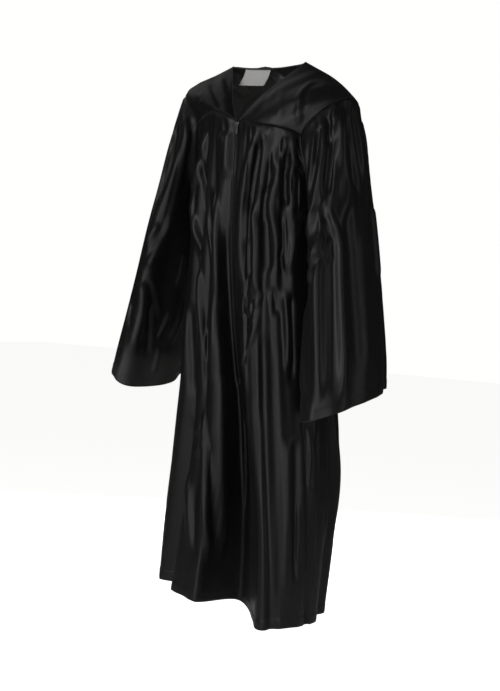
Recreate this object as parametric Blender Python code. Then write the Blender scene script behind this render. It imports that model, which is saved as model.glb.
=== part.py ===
"""A black satin choir robe in the shape it has when worn, with nobody in it.

Two front yokes and a back yoke sit over the shoulders. Two front panels and a back panel are
gathered onto them, and two bell sleeves are gathered into the armholes. A zip closes the front.
Units are metres, +Z is up, the front faces -Y, and the wearer's left is +X. The origin lies midway
between the two points where the shoulders meet the neck, where the robe hangs from.
"""

import math

import bpy
import numpy as np
from mathutils import Vector
from mathutils.bvhtree import BVHTree
from mathutils.geometry import delaunay_2d_cdt
from mathutils.interpolate import poly_3d_calc
from mathutils.kdtree import KDTree

# Driving dimensions
ROBE_LENGTH = 1.212  # from the neck point of the shoulder down to the lowest point of the hem
CLOTH = 0.0015  # wall of every cloth panel
SEAM_GAP = 0.0004
SAME_POINT = 0.00002  # corners of two pieces that lie closer than this are sewn together
V_DEPTH = 0.136
CHEST = 0.102  # how far the tip of the V stands in front of the neck points
MIDDLE_RISE = 0.020  # how high the hem hangs at the middle of the front, above its lowest point
FRONT_HEIGHT = ROBE_LENGTH - MIDDLE_RISE - V_DEPTH

ZIP_LENGTH = 0.56
TAPE_RUN_ON = 0.4  # how far the tapes run on where the slot closes below the zip
TAPE_PARTED = 0.0026  # how far the tapes part above the slider
ZIP_SLOT = 0.0090  # opening between the fronts in which the zip shows
TAPE_THICK = 0.0010

SLIDER_WIDTH = 0.0076
SLIDER_NOSE = 0.0052
SLIDER_HEIGHT = 0.0096
SLIDER_DROP = 0.0095  # its middle, below the tip of the V
BAIL_HEIGHT = 0.0060
BAIL_REACH = 0.0030
BAIL_BAR = 0.0010
TAB_LENGTH = 0.0200
TAB_WIDTH = 0.0052
TAB_THICK = 0.0010
TAB_HOLE_WIDTH = 0.0024
TAB_HOLE_LENGTH = 0.0056

LABEL_WIDTH = 0.064
LABEL_DROP = 0.040
LABEL_THICK = 0.0008
LABEL_GAP = 0.0004
LABEL_PLACE = 0.715  # share of the way round the back of the neck, from the left
LABEL_BELOW_NECK = 0.004
LABEL_SWING = (-0.009, -0.011)  # how far its free lower edge hangs aside and forwards

SIDES = {"left": 1, "right": -1}

# Body without its folds: how far it reaches at each height from the upright line under the origin
SECTION_COLUMNS = ("z", "half_width", "front", "back", "squareness", "to_left")
BODY_SECTIONS = (
    (-0.12, 0.150, 0.104, 0.075, 3.2, 0.000),
    (-0.30, 0.153, 0.108, 0.115, 3.0, 0.000),
    (-0.46, 0.160, 0.114, 0.145, 2.6, 0.002),
    (-0.60, 0.168, 0.114, 0.168, 2.5, 0.004),
    (-0.70, 0.175, 0.113, 0.184, 2.4, 0.007),
    (-0.80, 0.186, 0.116, 0.195, 2.3, 0.010),
    (-1.00, 0.196, 0.132, 0.190, 2.2, 0.011),
    (-1.22, 0.195, 0.156, 0.166, 2.1, 0.008),
)

# Shoulder seams, from the neck point out to the sleeve. The right shoulder stands higher and
# is drawn in a little, as the robe is worn.
SHOULDER = {
    "left": (
        (0.098, 0.000, 0.000),
        (0.135, 0.001, -0.020),
        (0.165, 0.002, -0.036),
        (0.187, 0.003, -0.050),
        (0.209, 0.004, -0.069),
        (0.222, 0.005, -0.083),
    ),
    "right": (
        (0.098, 0.000, 0.000),
        (0.131, 0.001, -0.012),
        (0.158, 0.002, -0.022),
        (0.178, 0.003, -0.032),
        (0.196, 0.004, -0.046),
        (0.205, 0.005, -0.058),
    ),
}

# Armhole of the left side, from the shoulder round the front, under the arm and up the back.
# right_lift and right_in say how much higher and how much further in the same point lies on
# the right side.
ARMHOLE_COLUMNS = ("name", "x", "y", "z", "right_lift", "right_in")
ARMHOLE = (
    ("shoulder", 0.222, 0.005, -0.083, 0.025, 0.017),
    ("front_cap", 0.218, -0.030, -0.088, 0.026, 0.016),
    ("front_slope", 0.184, -0.061, -0.116, 0.030, 0.012),
    ("front_corner", 0.144, -0.071, -0.168, 0.036, 0.011),
    ("front_fold", 0.152, -0.046, -0.236, 0.020, 0.006),
    ("underarm", 0.155, 0.010, -0.300, 0.010, 0.001),
    ("back_fold", 0.152, 0.058, -0.238, 0.020, 0.002),
    ("back_corner", 0.145, 0.082, -0.168, 0.032, 0.009),
    ("back_slope", 0.182, 0.068, -0.124, 0.030, 0.012),
    ("back_cap", 0.216, 0.036, -0.094, 0.026, 0.016),
)
FRONT_CORNER = 0.3  # shares of the armhole at which its corners and the underarm lie
UNDERARM = 0.5
BACK_CORNER = 0.7

# Front edge of the neck on each side, between the neck point and the tip of the V
NECK_FRONT = {
    "left": ((0.098, 0.0, 0.0), (0.075, -0.021, -0.026), (0.050, -0.049, -0.058), (0.024, -0.080, -0.098)),
    "right": ((0.098, 0.0, 0.0), (0.082, -0.019, -0.026), (0.060, -0.047, -0.060), (0.031, -0.080, -0.102)),
}
NECK_BACK = ((0.098, 0.0, 0.0), (0.086, 0.011, -0.001), (0.050, 0.019, -0.003), (0.0, 0.022, -0.005))

# Seam between front yoke and front panel, between the tip of the V and the front corner
YOKE_SEAM = {
    "left": (
        (0.030, -0.104, -0.139),
        (0.066, -0.104, -0.147),
        (0.100, -0.098, -0.152),
        (0.128, -0.085, -0.159),
    ),
    "right": (
        (0.022, -0.104, -0.127),
        (0.045, -0.104, -0.118),
        (0.068, -0.101, -0.114),
        (0.090, -0.095, -0.118),
        (0.113, -0.085, -0.124),
    ),
}
# Seam between back yoke and back panel, from beside the left armhole to the middle
BACK_SEAM = ((0.125, 0.073, -0.132), (0.090, 0.060, -0.094), (0.045, 0.049, -0.062), (0.0, 0.046, -0.053))
YOKE_BULGE = {"front": 0.006, "back": 0.006}

# How high the hem hangs above its lowest point. place runs from the middle of the front to the
# side seam on the two fronts, and from the left side seam to the right one on the back.
HEM_RISE = {
    "left": ((0.0, MIDDLE_RISE), (0.12, 0.010), (0.35, 0.0), (0.60, 0.0), (0.75, 0.004), (1.0, 0.003)),
    "right": ((0.0, MIDDLE_RISE), (0.12, 0.032), (0.30, 0.042), (0.50, 0.050), (0.75, 0.056), (1.0, 0.058)),
    "back": ((0.0, 0.003), (0.25, 0.012), (0.50, 0.026), (0.75, 0.044), (1.0, 0.058)),
}

# The fronts turn in towards their middle and make one wide hollow there: how deep it is, how far
# it reaches into each front (as a share of it), and how far it swings to the wearer's left.
HOLLOW_COLUMNS = ("z", "depth", "left_reach", "right_reach", "swing")
FRONT_HOLLOW = (
    (-0.136, 0.000, 0.20, 0.20, 0.00),
    (-0.35, 0.010, 0.20, 0.18, 0.00),
    (-0.60, 0.045, 0.26, 0.18, 0.03),
    (-0.80, 0.085, 0.38, 0.19, 0.11),
    (-1.00, 0.125, 0.50, 0.21, 0.21),
    (-1.22, 0.160, 0.52, 0.23, 0.31),
)

# Folds. Each row is one trough that runs down a panel: its place across the panel at the top,
# half way down and at the hem, its depth just under the seam, at the chest, half way down and
# at the hem, and how much of the way to the next trough its flank takes.
FOLD_COLUMNS = ("top", "middle", "hem", "at_seam", "at_chest", "at_middle", "at_hem", "flank")
FOLD_DEPTHS_AT = (0.0, 0.022, 0.11, 0.5, 1.0)
FOLDS = {
    "left": (
        (0.05, 0.045, 0.03, 0.000, 0.000, 0.000, 0.000, 0.50),
        (0.11, 0.15, 0.22, 0.004, 0.006, 0.003, 0.000, 0.60),
        (0.18, 0.22, 0.30, 0.005, 0.009, 0.005, 0.000, 0.50),
        (0.26, 0.31, 0.41, 0.006, 0.013, 0.009, 0.002, 0.60),
        (0.35, 0.40, 0.51, 0.005, 0.009, 0.004, 0.001, 0.50),
        (0.43, 0.50, 0.62, 0.006, 0.014, 0.015, 0.016, 0.65),
        (0.51, 0.58, 0.71, 0.005, 0.008, 0.007, 0.006, 0.55),
        (0.59, 0.67, 0.80, 0.005, 0.011, 0.013, 0.020, 0.60),
        (0.66, 0.77, 0.90, 0.003, 0.006, 0.006, 0.006, 0.60),
    ),
    "right": (
        (0.05, 0.045, 0.03, 0.000, 0.000, 0.000, 0.000, 0.50),
        (0.15, 0.18, 0.22, 0.003, 0.004, 0.006, 0.004, 0.60),
        (0.25, 0.28, 0.33, 0.005, 0.011, 0.014, 0.010, 0.60),
        (0.35, 0.38, 0.44, 0.004, 0.008, 0.006, 0.006, 0.55),
        (0.44, 0.50, 0.57, 0.005, 0.012, 0.030, 0.070, 0.90),
        (0.53, 0.61, 0.70, 0.004, 0.007, 0.006, 0.004, 0.55),
        (0.62, 0.72, 0.82, 0.004, 0.009, 0.010, 0.010, 0.60),
    ),
    "back": (
        (0.19, 0.14, 0.12, 0.004, 0.009, 0.012, 0.018, 0.60),
        (0.25, 0.21, 0.20, 0.004, 0.007, 0.006, 0.006, 0.50),
        (0.31, 0.29, 0.28, 0.005, 0.011, 0.017, 0.026, 0.65),
        (0.37, 0.36, 0.36, 0.004, 0.008, 0.007, 0.006, 0.50),
        (0.43, 0.43, 0.43, 0.005, 0.010, 0.014, 0.022, 0.60),
        (0.49, 0.50, 0.51, 0.004, 0.012, 0.020, 0.030, 0.65),
        (0.55, 0.57, 0.58, 0.004, 0.008, 0.007, 0.008, 0.50),
        (0.61, 0.64, 0.65, 0.005, 0.011, 0.016, 0.024, 0.60),
        (0.67, 0.70, 0.72, 0.004, 0.008, 0.007, 0.006, 0.50),
        (0.73, 0.78, 0.80, 0.004, 0.009, 0.012, 0.020, 0.60),
        (0.79, 0.86, 0.88, 0.004, 0.008, 0.007, 0.008, 0.50),
    ),
}
CORNER = {"left": 0.71, "right": 0.71, "back": 0.15}  # where the armhole cuts a panel's top edge
ARM_TUCK = 0.007  # how far a panel falls inwards just below the armhole seam
ARM_TUCK_HEIGHT = 0.020

# Sleeve rings of the left side below the armhole, each through an outer and an inner point.
# The front of a ring hangs lower than its back by twice front_drop.
RING_COLUMNS = (
    "share",
    "outer_x",
    "outer_z",
    "inner_x",
    "inner_z",
    "front_y",
    "back_y",
    "front_drop",
    "right_in",
    "right_lift",
)
SLEEVE_RINGS = (
    (0.00, 0.222, -0.083, 0.155, -0.300, -0.075, 0.080, 0.000, 0.017, 0.025),
    (0.07, 0.232, -0.125, 0.176, -0.313, -0.088, 0.088, 0.000, 0.020, 0.025),
    (0.16, 0.243, -0.180, 0.182, -0.345, -0.098, 0.095, 0.002, 0.023, 0.026),
    (0.30, 0.258, -0.270, 0.180, -0.400, -0.108, 0.100, 0.004, 0.026, 0.028),
    (0.45, 0.279, -0.375, 0.183, -0.470, -0.122, 0.104, 0.008, 0.030, 0.031),
    (0.60, 0.299, -0.480, 0.187, -0.550, -0.135, 0.105, 0.014, 0.034, 0.034),
    (0.75, 0.319, -0.580, 0.192, -0.632, -0.149, 0.104, 0.020, 0.038, 0.037),
    (0.88, 0.332, -0.655, 0.198, -0.695, -0.161, 0.100, 0.026, 0.041, 0.040),
    (1.00, 0.337, -0.708, 0.204, -0.745, -0.170, 0.096, 0.030, 0.043, 0.042),
)
RIGHT_CUFF_LIFT = 0.006  # more at the front of the right cuff, by up to twice this

# Sleeve folds, with the columns of the panels' folds. Places run round the sleeve from its
# outer edge over the front (0.25) and the inner side (0.5) to the back (0.75).
SLEEVE_FOLDS = {
    "left": (
        (0.035, 0.03, 0.02, 0.005, 0.008, 0.005, 0.004, 0.55),
        (0.085, 0.08, 0.08, 0.006, 0.010, 0.012, 0.015, 0.60),
        (0.135, 0.13, 0.14, 0.005, 0.008, 0.005, 0.004, 0.50),
        (0.185, 0.19, 0.20, 0.006, 0.012, 0.015, 0.018, 0.60),
        (0.235, 0.25, 0.27, 0.005, 0.009, 0.008, 0.008, 0.50),
        (0.40, 0.40, 0.40, 0.000, 0.003, 0.008, 0.012, 0.45),
        (0.60, 0.60, 0.60, 0.000, 0.003, 0.008, 0.012, 0.45),
        (0.77, 0.76, 0.75, 0.004, 0.009, 0.012, 0.015, 0.60),
        (0.83, 0.83, 0.83, 0.005, 0.008, 0.005, 0.004, 0.50),
        (0.885, 0.89, 0.90, 0.006, 0.012, 0.015, 0.020, 0.60),
        (0.94, 0.945, 0.96, 0.005, 0.008, 0.005, 0.004, 0.50),
    ),
    "right": (
        (0.04, 0.035, 0.02, 0.005, 0.008, 0.005, 0.004, 0.55),
        (0.10, 0.095, 0.09, 0.006, 0.011, 0.013, 0.016, 0.60),
        (0.155, 0.15, 0.15, 0.005, 0.008, 0.005, 0.004, 0.50),
        (0.215, 0.22, 0.23, 0.006, 0.012, 0.015, 0.018, 0.60),
        (0.40, 0.40, 0.40, 0.000, 0.003, 0.008, 0.012, 0.45),
        (0.60, 0.60, 0.60, 0.000, 0.003, 0.008, 0.012, 0.45),
        (0.78, 0.77, 0.76, 0.004, 0.009, 0.012, 0.015, 0.60),
        (0.84, 0.84, 0.84, 0.005, 0.008, 0.005, 0.004, 0.50),
        (0.90, 0.90, 0.91, 0.006, 0.012, 0.015, 0.018, 0.60),
        (0.955, 0.96, 0.97, 0.005, 0.008, 0.005, 0.004, 0.50),
    ),
}

ZIP_END = ZIP_LENGTH / FRONT_HEIGHT
SLOT_CLOSES = 0.02  # share of the height in which the slot closes below the zip
ROWS_BY_ZIP = (0.0, 0.012, 0.035, 0.075, 0.13, 0.21, 0.31, 0.42, ZIP_END, ZIP_END + SLOT_CLOSES)
PANEL_ROWS = (*ROWS_BY_ZIP, 0.69, 0.84, 1.0)
SLEEVE_ROWS = (0.0, 0.014, 0.04, 0.08, 0.14, 0.22, 0.33, 0.46, 0.60, 0.74, 0.88, 1.0)
STEPS_PER_FOLD = 4
SEAM_SMOOTHING = 4  # times that the lean of a seam is evened out along it
TAPE_COLUMNS = 4  # lines of a front panel that a tape is sewn to, the first of its folds rows
YOKE_ROWS = 5
SHOULDER_STEPS = 9
BACK_YOKE_NECK = (0.36, 0.64)  # where the neck lies along the top edge of the back yoke


def through(xs, ys, x):
    """A smooth line through the points (xs, ys), read at x."""
    xs, ys = np.asarray(xs, float), np.asarray(ys, float)
    x = np.clip(x, xs[0], xs[-1])
    slopes = np.gradient(ys, xs)
    k = np.clip(np.searchsorted(xs, x) - 1, 0, len(xs) - 2)
    h = xs[k + 1] - xs[k]
    t = (x - xs[k]) / h
    start = (1 + 2 * t) * (1 - t) ** 2 * ys[k] + t * (1 - t) ** 2 * h * slopes[k]
    end = t * t * (3 - 2 * t) * ys[k + 1] - t * t * (1 - t) * h * slopes[k + 1]
    return start + end


def through_points(xs, points, x):
    points = np.asarray(points, float)
    return np.stack([through(xs, points[:, k], x) for k in range(3)], axis=-1)


def ease(t):
    """0 below 0, 1 above 1, and a smooth step between."""
    t = np.clip(t, 0.0, 1.0)
    return t * t * (3 - 2 * t)


def column(rows, columns, name):
    return [row[columns.index(name)] for row in rows]


def space_curve(points, t):
    """Points at shares t of the length of a smooth curve through the given points."""
    points = np.asarray(points, float)
    steps = np.linalg.norm(np.diff(points, axis=0), axis=1)
    along = np.concatenate([[0.0], np.cumsum(steps)]) / steps.sum()
    return through_points(along, points, np.asarray(t, float))


def mirrored(points, side):
    return np.asarray(points, float) * (SIDES[side], 1, 1)


def v_tip(side):
    return np.array([SIDES[side] * ZIP_SLOT / 2, -CHEST, -V_DEPTH])


def shoulder(side, t):
    return space_curve(mirrored(SHOULDER[side], side), t)


def armhole(side, place):
    """The armhole at a share round it, from the shoulder over the front."""
    right = side == "right"
    points = []
    for _, x, y, z, lift, inner in ARMHOLE:
        points.append((SIDES[side] * (x - right * inner), y, z + right * lift))
    points = np.array(points)
    count = len(points)
    around = count * (1 + np.asarray(place, float))
    return through_points(np.arange(3.0 * count), np.tile(points, (3, 1)), around)


def yoke_seam(side, t):
    """From the tip of the V to the front corner of the armhole."""
    inner = np.vstack([v_tip(side), mirrored(YOKE_SEAM[side], side)])
    return space_curve(np.vstack([inner, armhole(side, FRONT_CORNER)]), t)


def back_seam(t):
    """From the back corner of the left armhole to that of the right one."""
    left, right = armhole("left", BACK_CORNER), armhole("right", BACK_CORNER)
    half = np.asarray(BACK_SEAM, float)
    other = mirrored(half[-2::-1], "right")
    other[:, 2] += (right[2] - left[2]) * np.linspace(0.3, 0.9, len(other))
    return space_curve(np.vstack([left, half, other, right]), t)


def neck_front(side, t):
    return space_curve(np.vstack([mirrored(NECK_FRONT[side], side), v_tip(side)]), t)


def neck_back(t):
    """From the left neck point round the back to the right one."""
    half = np.asarray(NECK_BACK, float)
    return space_curve(np.vstack([half, mirrored(half[-2::-1], "right")]), t)


def back_yoke_top(t):
    """Left shoulder inwards, round the back of the neck, and right shoulder outwards."""
    a, b = BACK_YOKE_NECK
    left = shoulder("left", 1 - np.clip(t / a, 0, 1))
    right = shoulder("right", np.clip((t - b) / (1 - b), 0, 1))
    neck = neck_back(np.clip((t - a) / (b - a), 0, 1))
    t = np.asarray(t, float)[..., None]
    return np.where(t < a, left, np.where(t > b, right, neck))


def patch(top, bottom, first, last, bulge, u, v):
    """A smooth surface between four edges that meet at their ends, raised in its middle."""
    u, v = np.asarray(u, float), np.asarray(v, float)
    a, b = u[..., None], v[..., None]
    zero, one = np.zeros_like(u), np.ones_like(u)
    along = (1 - b) * top(u) + b * bottom(u)
    down = (1 - a) * first(v) + a * last(v)
    corners = (1 - a) * (1 - b) * top(zero) + a * (1 - b) * top(one)
    corners = corners + (1 - a) * b * bottom(zero) + a * b * bottom(one)
    return along + down - corners + bulge * (16 * u * (1 - u) * v * (1 - v))[..., None] ** 0.75


def yoke_point(name, u, v):
    """A point of a yoke's middle surface. v runs from the shoulder down to the seam."""
    if name == "back":
        return patch(
            back_yoke_top,
            back_seam,
            lambda t: armhole("left", 1 - t * (1 - BACK_CORNER)),
            lambda t: armhole("right", 1 - t * (1 - BACK_CORNER)),
            YOKE_BULGE["back"] * np.array([0.0, 0.9, 0.4]),
            u,
            v,
        )
    return patch(
        lambda t: shoulder(name, t),
        lambda t: yoke_seam(name, t),
        lambda t: neck_front(name, t),
        lambda t: armhole(name, t * FRONT_CORNER),
        YOKE_BULGE["front"] * np.array([SIDES[name] * 0.2, -0.75, 0.65]),
        u,
        v,
    )


def body_point(turn, z):
    """The body without folds. turn is the angle from the middle of the front, in radians,
    positive towards the wearer's left."""
    heights = column(BODY_SECTIONS, SECTION_COLUMNS, "z")[::-1]
    reach = {}
    for name in SECTION_COLUMNS[1:]:
        reach[name] = through(heights, column(BODY_SECTIONS, SECTION_COLUMNS, name)[::-1], z)
    forward = np.cos(turn)
    depth = np.where(forward > 0, reach["front"], reach["back"])
    power = reach["squareness"]
    across = np.abs(np.sin(turn)) / reach["half_width"]
    radius = (across**power + (np.abs(forward) / depth) ** power) ** (-1 / power)
    return np.stack([reach["to_left"] + radius * np.sin(turn), -radius * forward, z + 0 * turn], axis=-1)


def front_hollow(name, share, z):
    """Shift and swing of the hollow in the middle of the front, at a share of one front."""
    heights = column(FRONT_HOLLOW, HOLLOW_COLUMNS, "z")[::-1]
    depth, reach, swing = (
        through(heights, column(FRONT_HOLLOW, HOLLOW_COLUMNS, wanted)[::-1], z)
        for wanted in ("depth", f"{name}_reach", "swing")
    )
    deep = depth * (1 + np.cos(math.pi * np.clip(share / reach, 0, 1))) / 2
    backward = np.stack([-np.sin(swing), np.cos(swing), 0 * swing], axis=-1)
    return backward * deep[..., None], swing * (1 - ease(share / 0.8))


def plain_point(name, share, z, down):
    """A point of a panel without its folds, at a share across it."""
    if name == "back":
        return body_point(math.pi / 2 + share * math.pi, z)
    hollow, swing = front_hollow(name, share, z)
    point = body_point(SIDES[name] * share * math.pi / 2 + swing, z) + hollow
    opening = ZIP_SLOT / 2 * (1 - ease((down - ZIP_END) / SLOT_CLOSES))
    point[..., 0] += SIDES[name] * opening * (1 - ease(share / 0.35))
    return point


def drifted(folds, place, down, closed=False):
    """Where a line that starts at a place of the top edge runs, further down. Lines follow the folds."""
    tops = np.array(column(folds, FOLD_COLUMNS, "top"))
    drifts = []
    for row in folds:
        top, middle, hem = row[:3]
        drifts.append(through((0.0, 0.5, 1.0), (0.0, middle - top, hem - top), down))
    if closed:
        tops = np.concatenate([tops[-1:] - 1, tops, tops[:1] + 1])
        drifts = [drifts[-1], *drifts, drifts[0]]
    else:
        tops = np.concatenate([[0.0], tops, [1.0]])
        drifts = [0 * down, *drifts, 0 * down]
    moved = 0.0 * (place + down)
    for k in range(len(tops) - 1):
        t = np.clip((place - tops[k]) / (tops[k + 1] - tops[k]), 0, 1)
        inside = (place >= tops[k]) & (place < tops[k + 1])
        moved = np.where(inside, drifts[k] + (drifts[k + 1] - drifts[k]) * t, moved)
    return place + moved


def fold_depth(folds, place, down, closed=False):
    """How far the cloth lies inside its plain form, on the line from a place of the top edge."""
    tops = column(folds, FOLD_COLUMNS, "top")
    count = len(tops)
    depth = 0.0 * (place + down)
    for k, row in enumerate(folds):
        after = tops[(k + 1) % count] + (k + 1 == count) if closed else ([*tops, 1.0])[k + 1]
        before = tops[k - 1] - (k == 0) if closed else ([0.0, *tops])[k]
        away = place - row[0]
        if closed:
            away = (away + 0.5) % 1.0 - 0.5
        gap = np.where(away >= 0, after - row[0], row[0] - before)
        t = np.clip(np.abs(away) / (gap * row[-1]), 0, 1)
        deep = through(FOLD_DEPTHS_AT, (0.0, *row[3:7]), down)
        depth = depth + deep * (1 + np.cos(math.pi * t)) / 2
    return depth


def panel_top(name, place):
    """The sewn top edge of a panel."""
    corner = CORNER[name]
    place = np.asarray(place, float)
    if name == "back":
        rise = (BACK_CORNER - UNDERARM) / corner
        left = armhole("left", UNDERARM + np.clip(place, 0, corner) * rise)
        right = armhole("right", UNDERARM + np.clip(1 - place, 0, corner) * rise)
        seam = back_seam(np.clip((place - corner) / (1 - 2 * corner), 0, 1))
        first = np.where((place < corner)[..., None], left, seam)
        return np.where((place > 1 - corner)[..., None], right, first)
    seam = yoke_seam(name, np.clip(place / corner, 0, 1))
    drop = (UNDERARM - FRONT_CORNER) / (1 - corner)
    arm = armhole(name, FRONT_CORNER + (np.clip(place, corner, 1) - corner) * drop)
    return np.where((place > corner)[..., None], arm, seam)


def arm_tuck(name, place, below):
    """How far a panel falls inwards at a distance below its armhole seam."""
    corner = CORNER[name]
    from_corner = corner - np.minimum(place, 1 - place) if name == "back" else place - corner
    return ARM_TUCK * ease(1 + from_corner / 0.06) * ease(below / ARM_TUCK_HEIGHT)


def panel_point(name, place, down):
    """A point of a panel's middle surface, on the line from a place of its top edge."""
    place, down = np.asarray(place, float), np.asarray(down, float)
    top = panel_top(name, place)
    share = drifted(FOLDS[name], place, down)
    low = -ROBE_LENGTH + through(*zip(*HEM_RISE[name]), share)
    z = top[..., 2] + down * (low - top[..., 2])
    plain = plain_point(name, share, z, down)
    shift = top - plain_point(name, place, top[..., 2], 0 * down)
    settle = 1 - ease((top[..., 2] - z) / 0.20)
    inward = plain * (-1, -1, 0)
    inward = inward / np.linalg.norm(inward, axis=-1, keepdims=True)
    depth = fold_depth(FOLDS[name], place, down) + arm_tuck(name, place, top[..., 2] - z)
    return plain + shift * settle[..., None] + inward * depth[..., None]


def sleeve_point(side, place, down):
    """A point of a sleeve's middle surface, on the line from a place of the armhole."""
    place, down = np.asarray(place, float), np.asarray(down, float)
    shares = column(SLEEVE_RINGS, RING_COLUMNS, "share")

    def ring_point(down, angle):
        ring = {}
        for name in RING_COLUMNS[1:]:
            ring[name] = through(shares, column(SLEEVE_RINGS, RING_COLUMNS, name), down)
        out, forward = np.cos(angle), np.sin(angle)
        outer = ring["outer_x"] - (ring["right_in"] if side == "right" else 0.0)
        x = (outer + ring["inner_x"] + out * (outer - ring["inner_x"])) / 2
        y = (ring["front_y"] + ring["back_y"] - forward * (ring["back_y"] - ring["front_y"])) / 2
        z = (ring["outer_z"] + ring["inner_z"] + out * (ring["outer_z"] - ring["inner_z"])) / 2
        z = z - forward * ring["front_drop"]
        if side == "right":
            z = z + ring["right_lift"] * (0.7 + 0.3 * out) + RIGHT_CUFF_LIFT * ease(down) * (1 + forward)
        return np.stack([SIDES[side] * x, y, z], axis=-1)

    start = 2 * math.pi * place
    angle = 2 * math.pi * drifted(SLEEVE_FOLDS[side], place, down, closed=True)
    plain = ring_point(down, angle)
    shift = armhole(side, place) - ring_point(0 * down, start)
    plain = plain + shift * (1 - ease(down / 0.4))[..., None]
    inward = np.stack([-SIDES[side] * np.cos(angle), np.sin(angle), 0 * angle], axis=-1)
    return plain + inward * fold_depth(SLEEVE_FOLDS[side], place, down, closed=True)[..., None]


def divided(stops, steps):
    """Each stretch between two stops in equal steps, with the last stop left out."""
    places = []
    for a, b in zip(stops[:-1], stops[1:]):
        places += [a + (b - a) * k / steps for k in range(steps)]
    return places


def sleeve_places(side):
    """Places round the armhole at which every piece that meets it has a corner."""
    tops = column(SLEEVE_FOLDS[side], FOLD_COLUMNS, "top")
    places = {round(p, 6) for p in divided([*tops, tops[0] + 1], STEPS_PER_FOLD)}
    places = {round(p % 1.0, 6) for p in places} | {0.0, FRONT_CORNER, UNDERARM, BACK_CORNER}
    corners = (0.0, FRONT_CORNER, UNDERARM, BACK_CORNER, 1.0)
    kept = [p for p in sorted(places) if p in corners or all(abs(p - c) > 0.008 for c in corners)]
    return kept


def arm_places(side, low, high):
    return [p for p in [*sleeve_places(side), 1.0] if low <= p <= high]


def panel_places(name):
    """Places of a panel's lines along its top edge."""
    corner = CORNER[name]
    tops = column(FOLDS[name], FOLD_COLUMNS, "top")
    if name == "back":
        rise = corner / (BACK_CORNER - UNDERARM)
        left = [(p - UNDERARM) * rise for p in arm_places("left", UNDERARM, BACK_CORNER)]
        right = [1 - (p - UNDERARM) * rise for p in arm_places("right", UNDERARM, BACK_CORNER)]
        return left[:-1] + divided([corner, *tops, 1 - corner], STEPS_PER_FOLD) + right[::-1]
    drop = (1 - corner) / (UNDERARM - FRONT_CORNER)
    arm = [corner + (p - FRONT_CORNER) * drop for p in arm_places(name, FRONT_CORNER, UNDERARM)]
    return divided([0.0, *tops, corner], STEPS_PER_FOLD) + arm


def grid_surface(points, closed=False, flip=False, odd=0):
    """Points in rows and columns as one list, with its triangles."""
    rows, columns = points.shape[:2]
    triangles = []
    for r in range(rows - 1):
        for c in range(columns if closed else columns - 1):
            d = (c + 1) % columns
            a, b = r * columns + c, r * columns + d
            e, f = a + columns, b + columns
            pair = ((a, e, f), (a, f, b)) if (r + c + odd) % 2 else ((a, e, b), (b, e, f))
            triangles += [t[::-1] for t in pair] if flip else pair
    return points.reshape(-1, 3), triangles


def panel_surface(name):
    place, down = np.meshgrid(panel_places(name), PANEL_ROWS)
    return grid_surface(panel_point(name, place, down), flip=name == "right")


def sleeve_surface(side):
    place, down = np.meshgrid(sleeve_places(side), SLEEVE_ROWS)
    return grid_surface(sleeve_point(side, place, down), closed=True, flip=side == "left")


def yoke_surface(name):
    """A yoke, with a corner wherever a piece that it is sewn to has one."""
    if name == "back":
        corner = CORNER["back"]
        seam = [(p - corner) / (1 - 2 * corner) for p in panel_places("back") if corner <= p <= 1 - corner]
        first = [(1 - p) / (1 - BACK_CORNER) for p in arm_places("left", BACK_CORNER, 1.0)]
        last = [(1 - p) / (1 - BACK_CORNER) for p in arm_places("right", BACK_CORNER, 1.0)]
        a, b = BACK_YOKE_NECK
        top = [a * k / SHOULDER_STEPS for k in range(SHOULDER_STEPS)]
        top += [a + (b - a) * k / 12 for k in range(12)]
        top += [b + (1 - b) * k / SHOULDER_STEPS for k in range(SHOULDER_STEPS + 1)]
    else:
        seam = [p / CORNER[name] for p in panel_places(name) if p <= CORNER[name]]
        first = [k / 10 for k in range(11)]
        last = [p / FRONT_CORNER for p in arm_places(name, 0.0, FRONT_CORNER)]
        top = [k / SHOULDER_STEPS for k in range(SHOULDER_STEPS + 1)]
    edges = (top, seam, first, last)
    top, seam, first, last = ([round(min(max(t, 0), 1), 7) for t in edge] for edge in edges)
    border = {(u, 0.0) for u in top} | {(u, 1.0) for u in seam}
    border |= {(0.0, v) for v in first} | {(1.0, v) for v in last}
    inner = []
    for r in range(1, YOKE_ROWS):
        count = round(len(top) + (len(seam) - len(top)) * r / YOKE_ROWS) // 2 + 2
        inner += [((k + 0.5 * (r % 2) + 0.25) / count, r / YOKE_ROWS) for k in range(count)]
    flat = sorted(border) + inner
    corners, _, faces, *_ = delaunay_2d_cdt(flat, [], [], 0, 1e-7)
    uv = np.array([(c[0], c[1]) for c in corners])
    points = yoke_point(name, uv[:, 0], uv[:, 1])
    return points, [tuple(f) if name == "right" else tuple(f)[::-1] for f in faces]


def face_normals(points, triangles):
    a, b, c = (points[np.array(triangles)[:, k]] for k in range(3))
    return np.cross(b - a, c - a)


def cloth_pieces():
    """Every cloth panel as a middle surface, facing out."""
    pieces = {"back_yoke": yoke_surface("back"), "back_panel": panel_surface("back")}
    for side in SIDES:
        pieces[f"front_yoke_{side}"] = yoke_surface(side)
        pieces[f"front_panel_{side}"] = panel_surface(side)
        pieces[f"sleeve_{side}"] = sleeve_surface(side)
    return pieces


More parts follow.
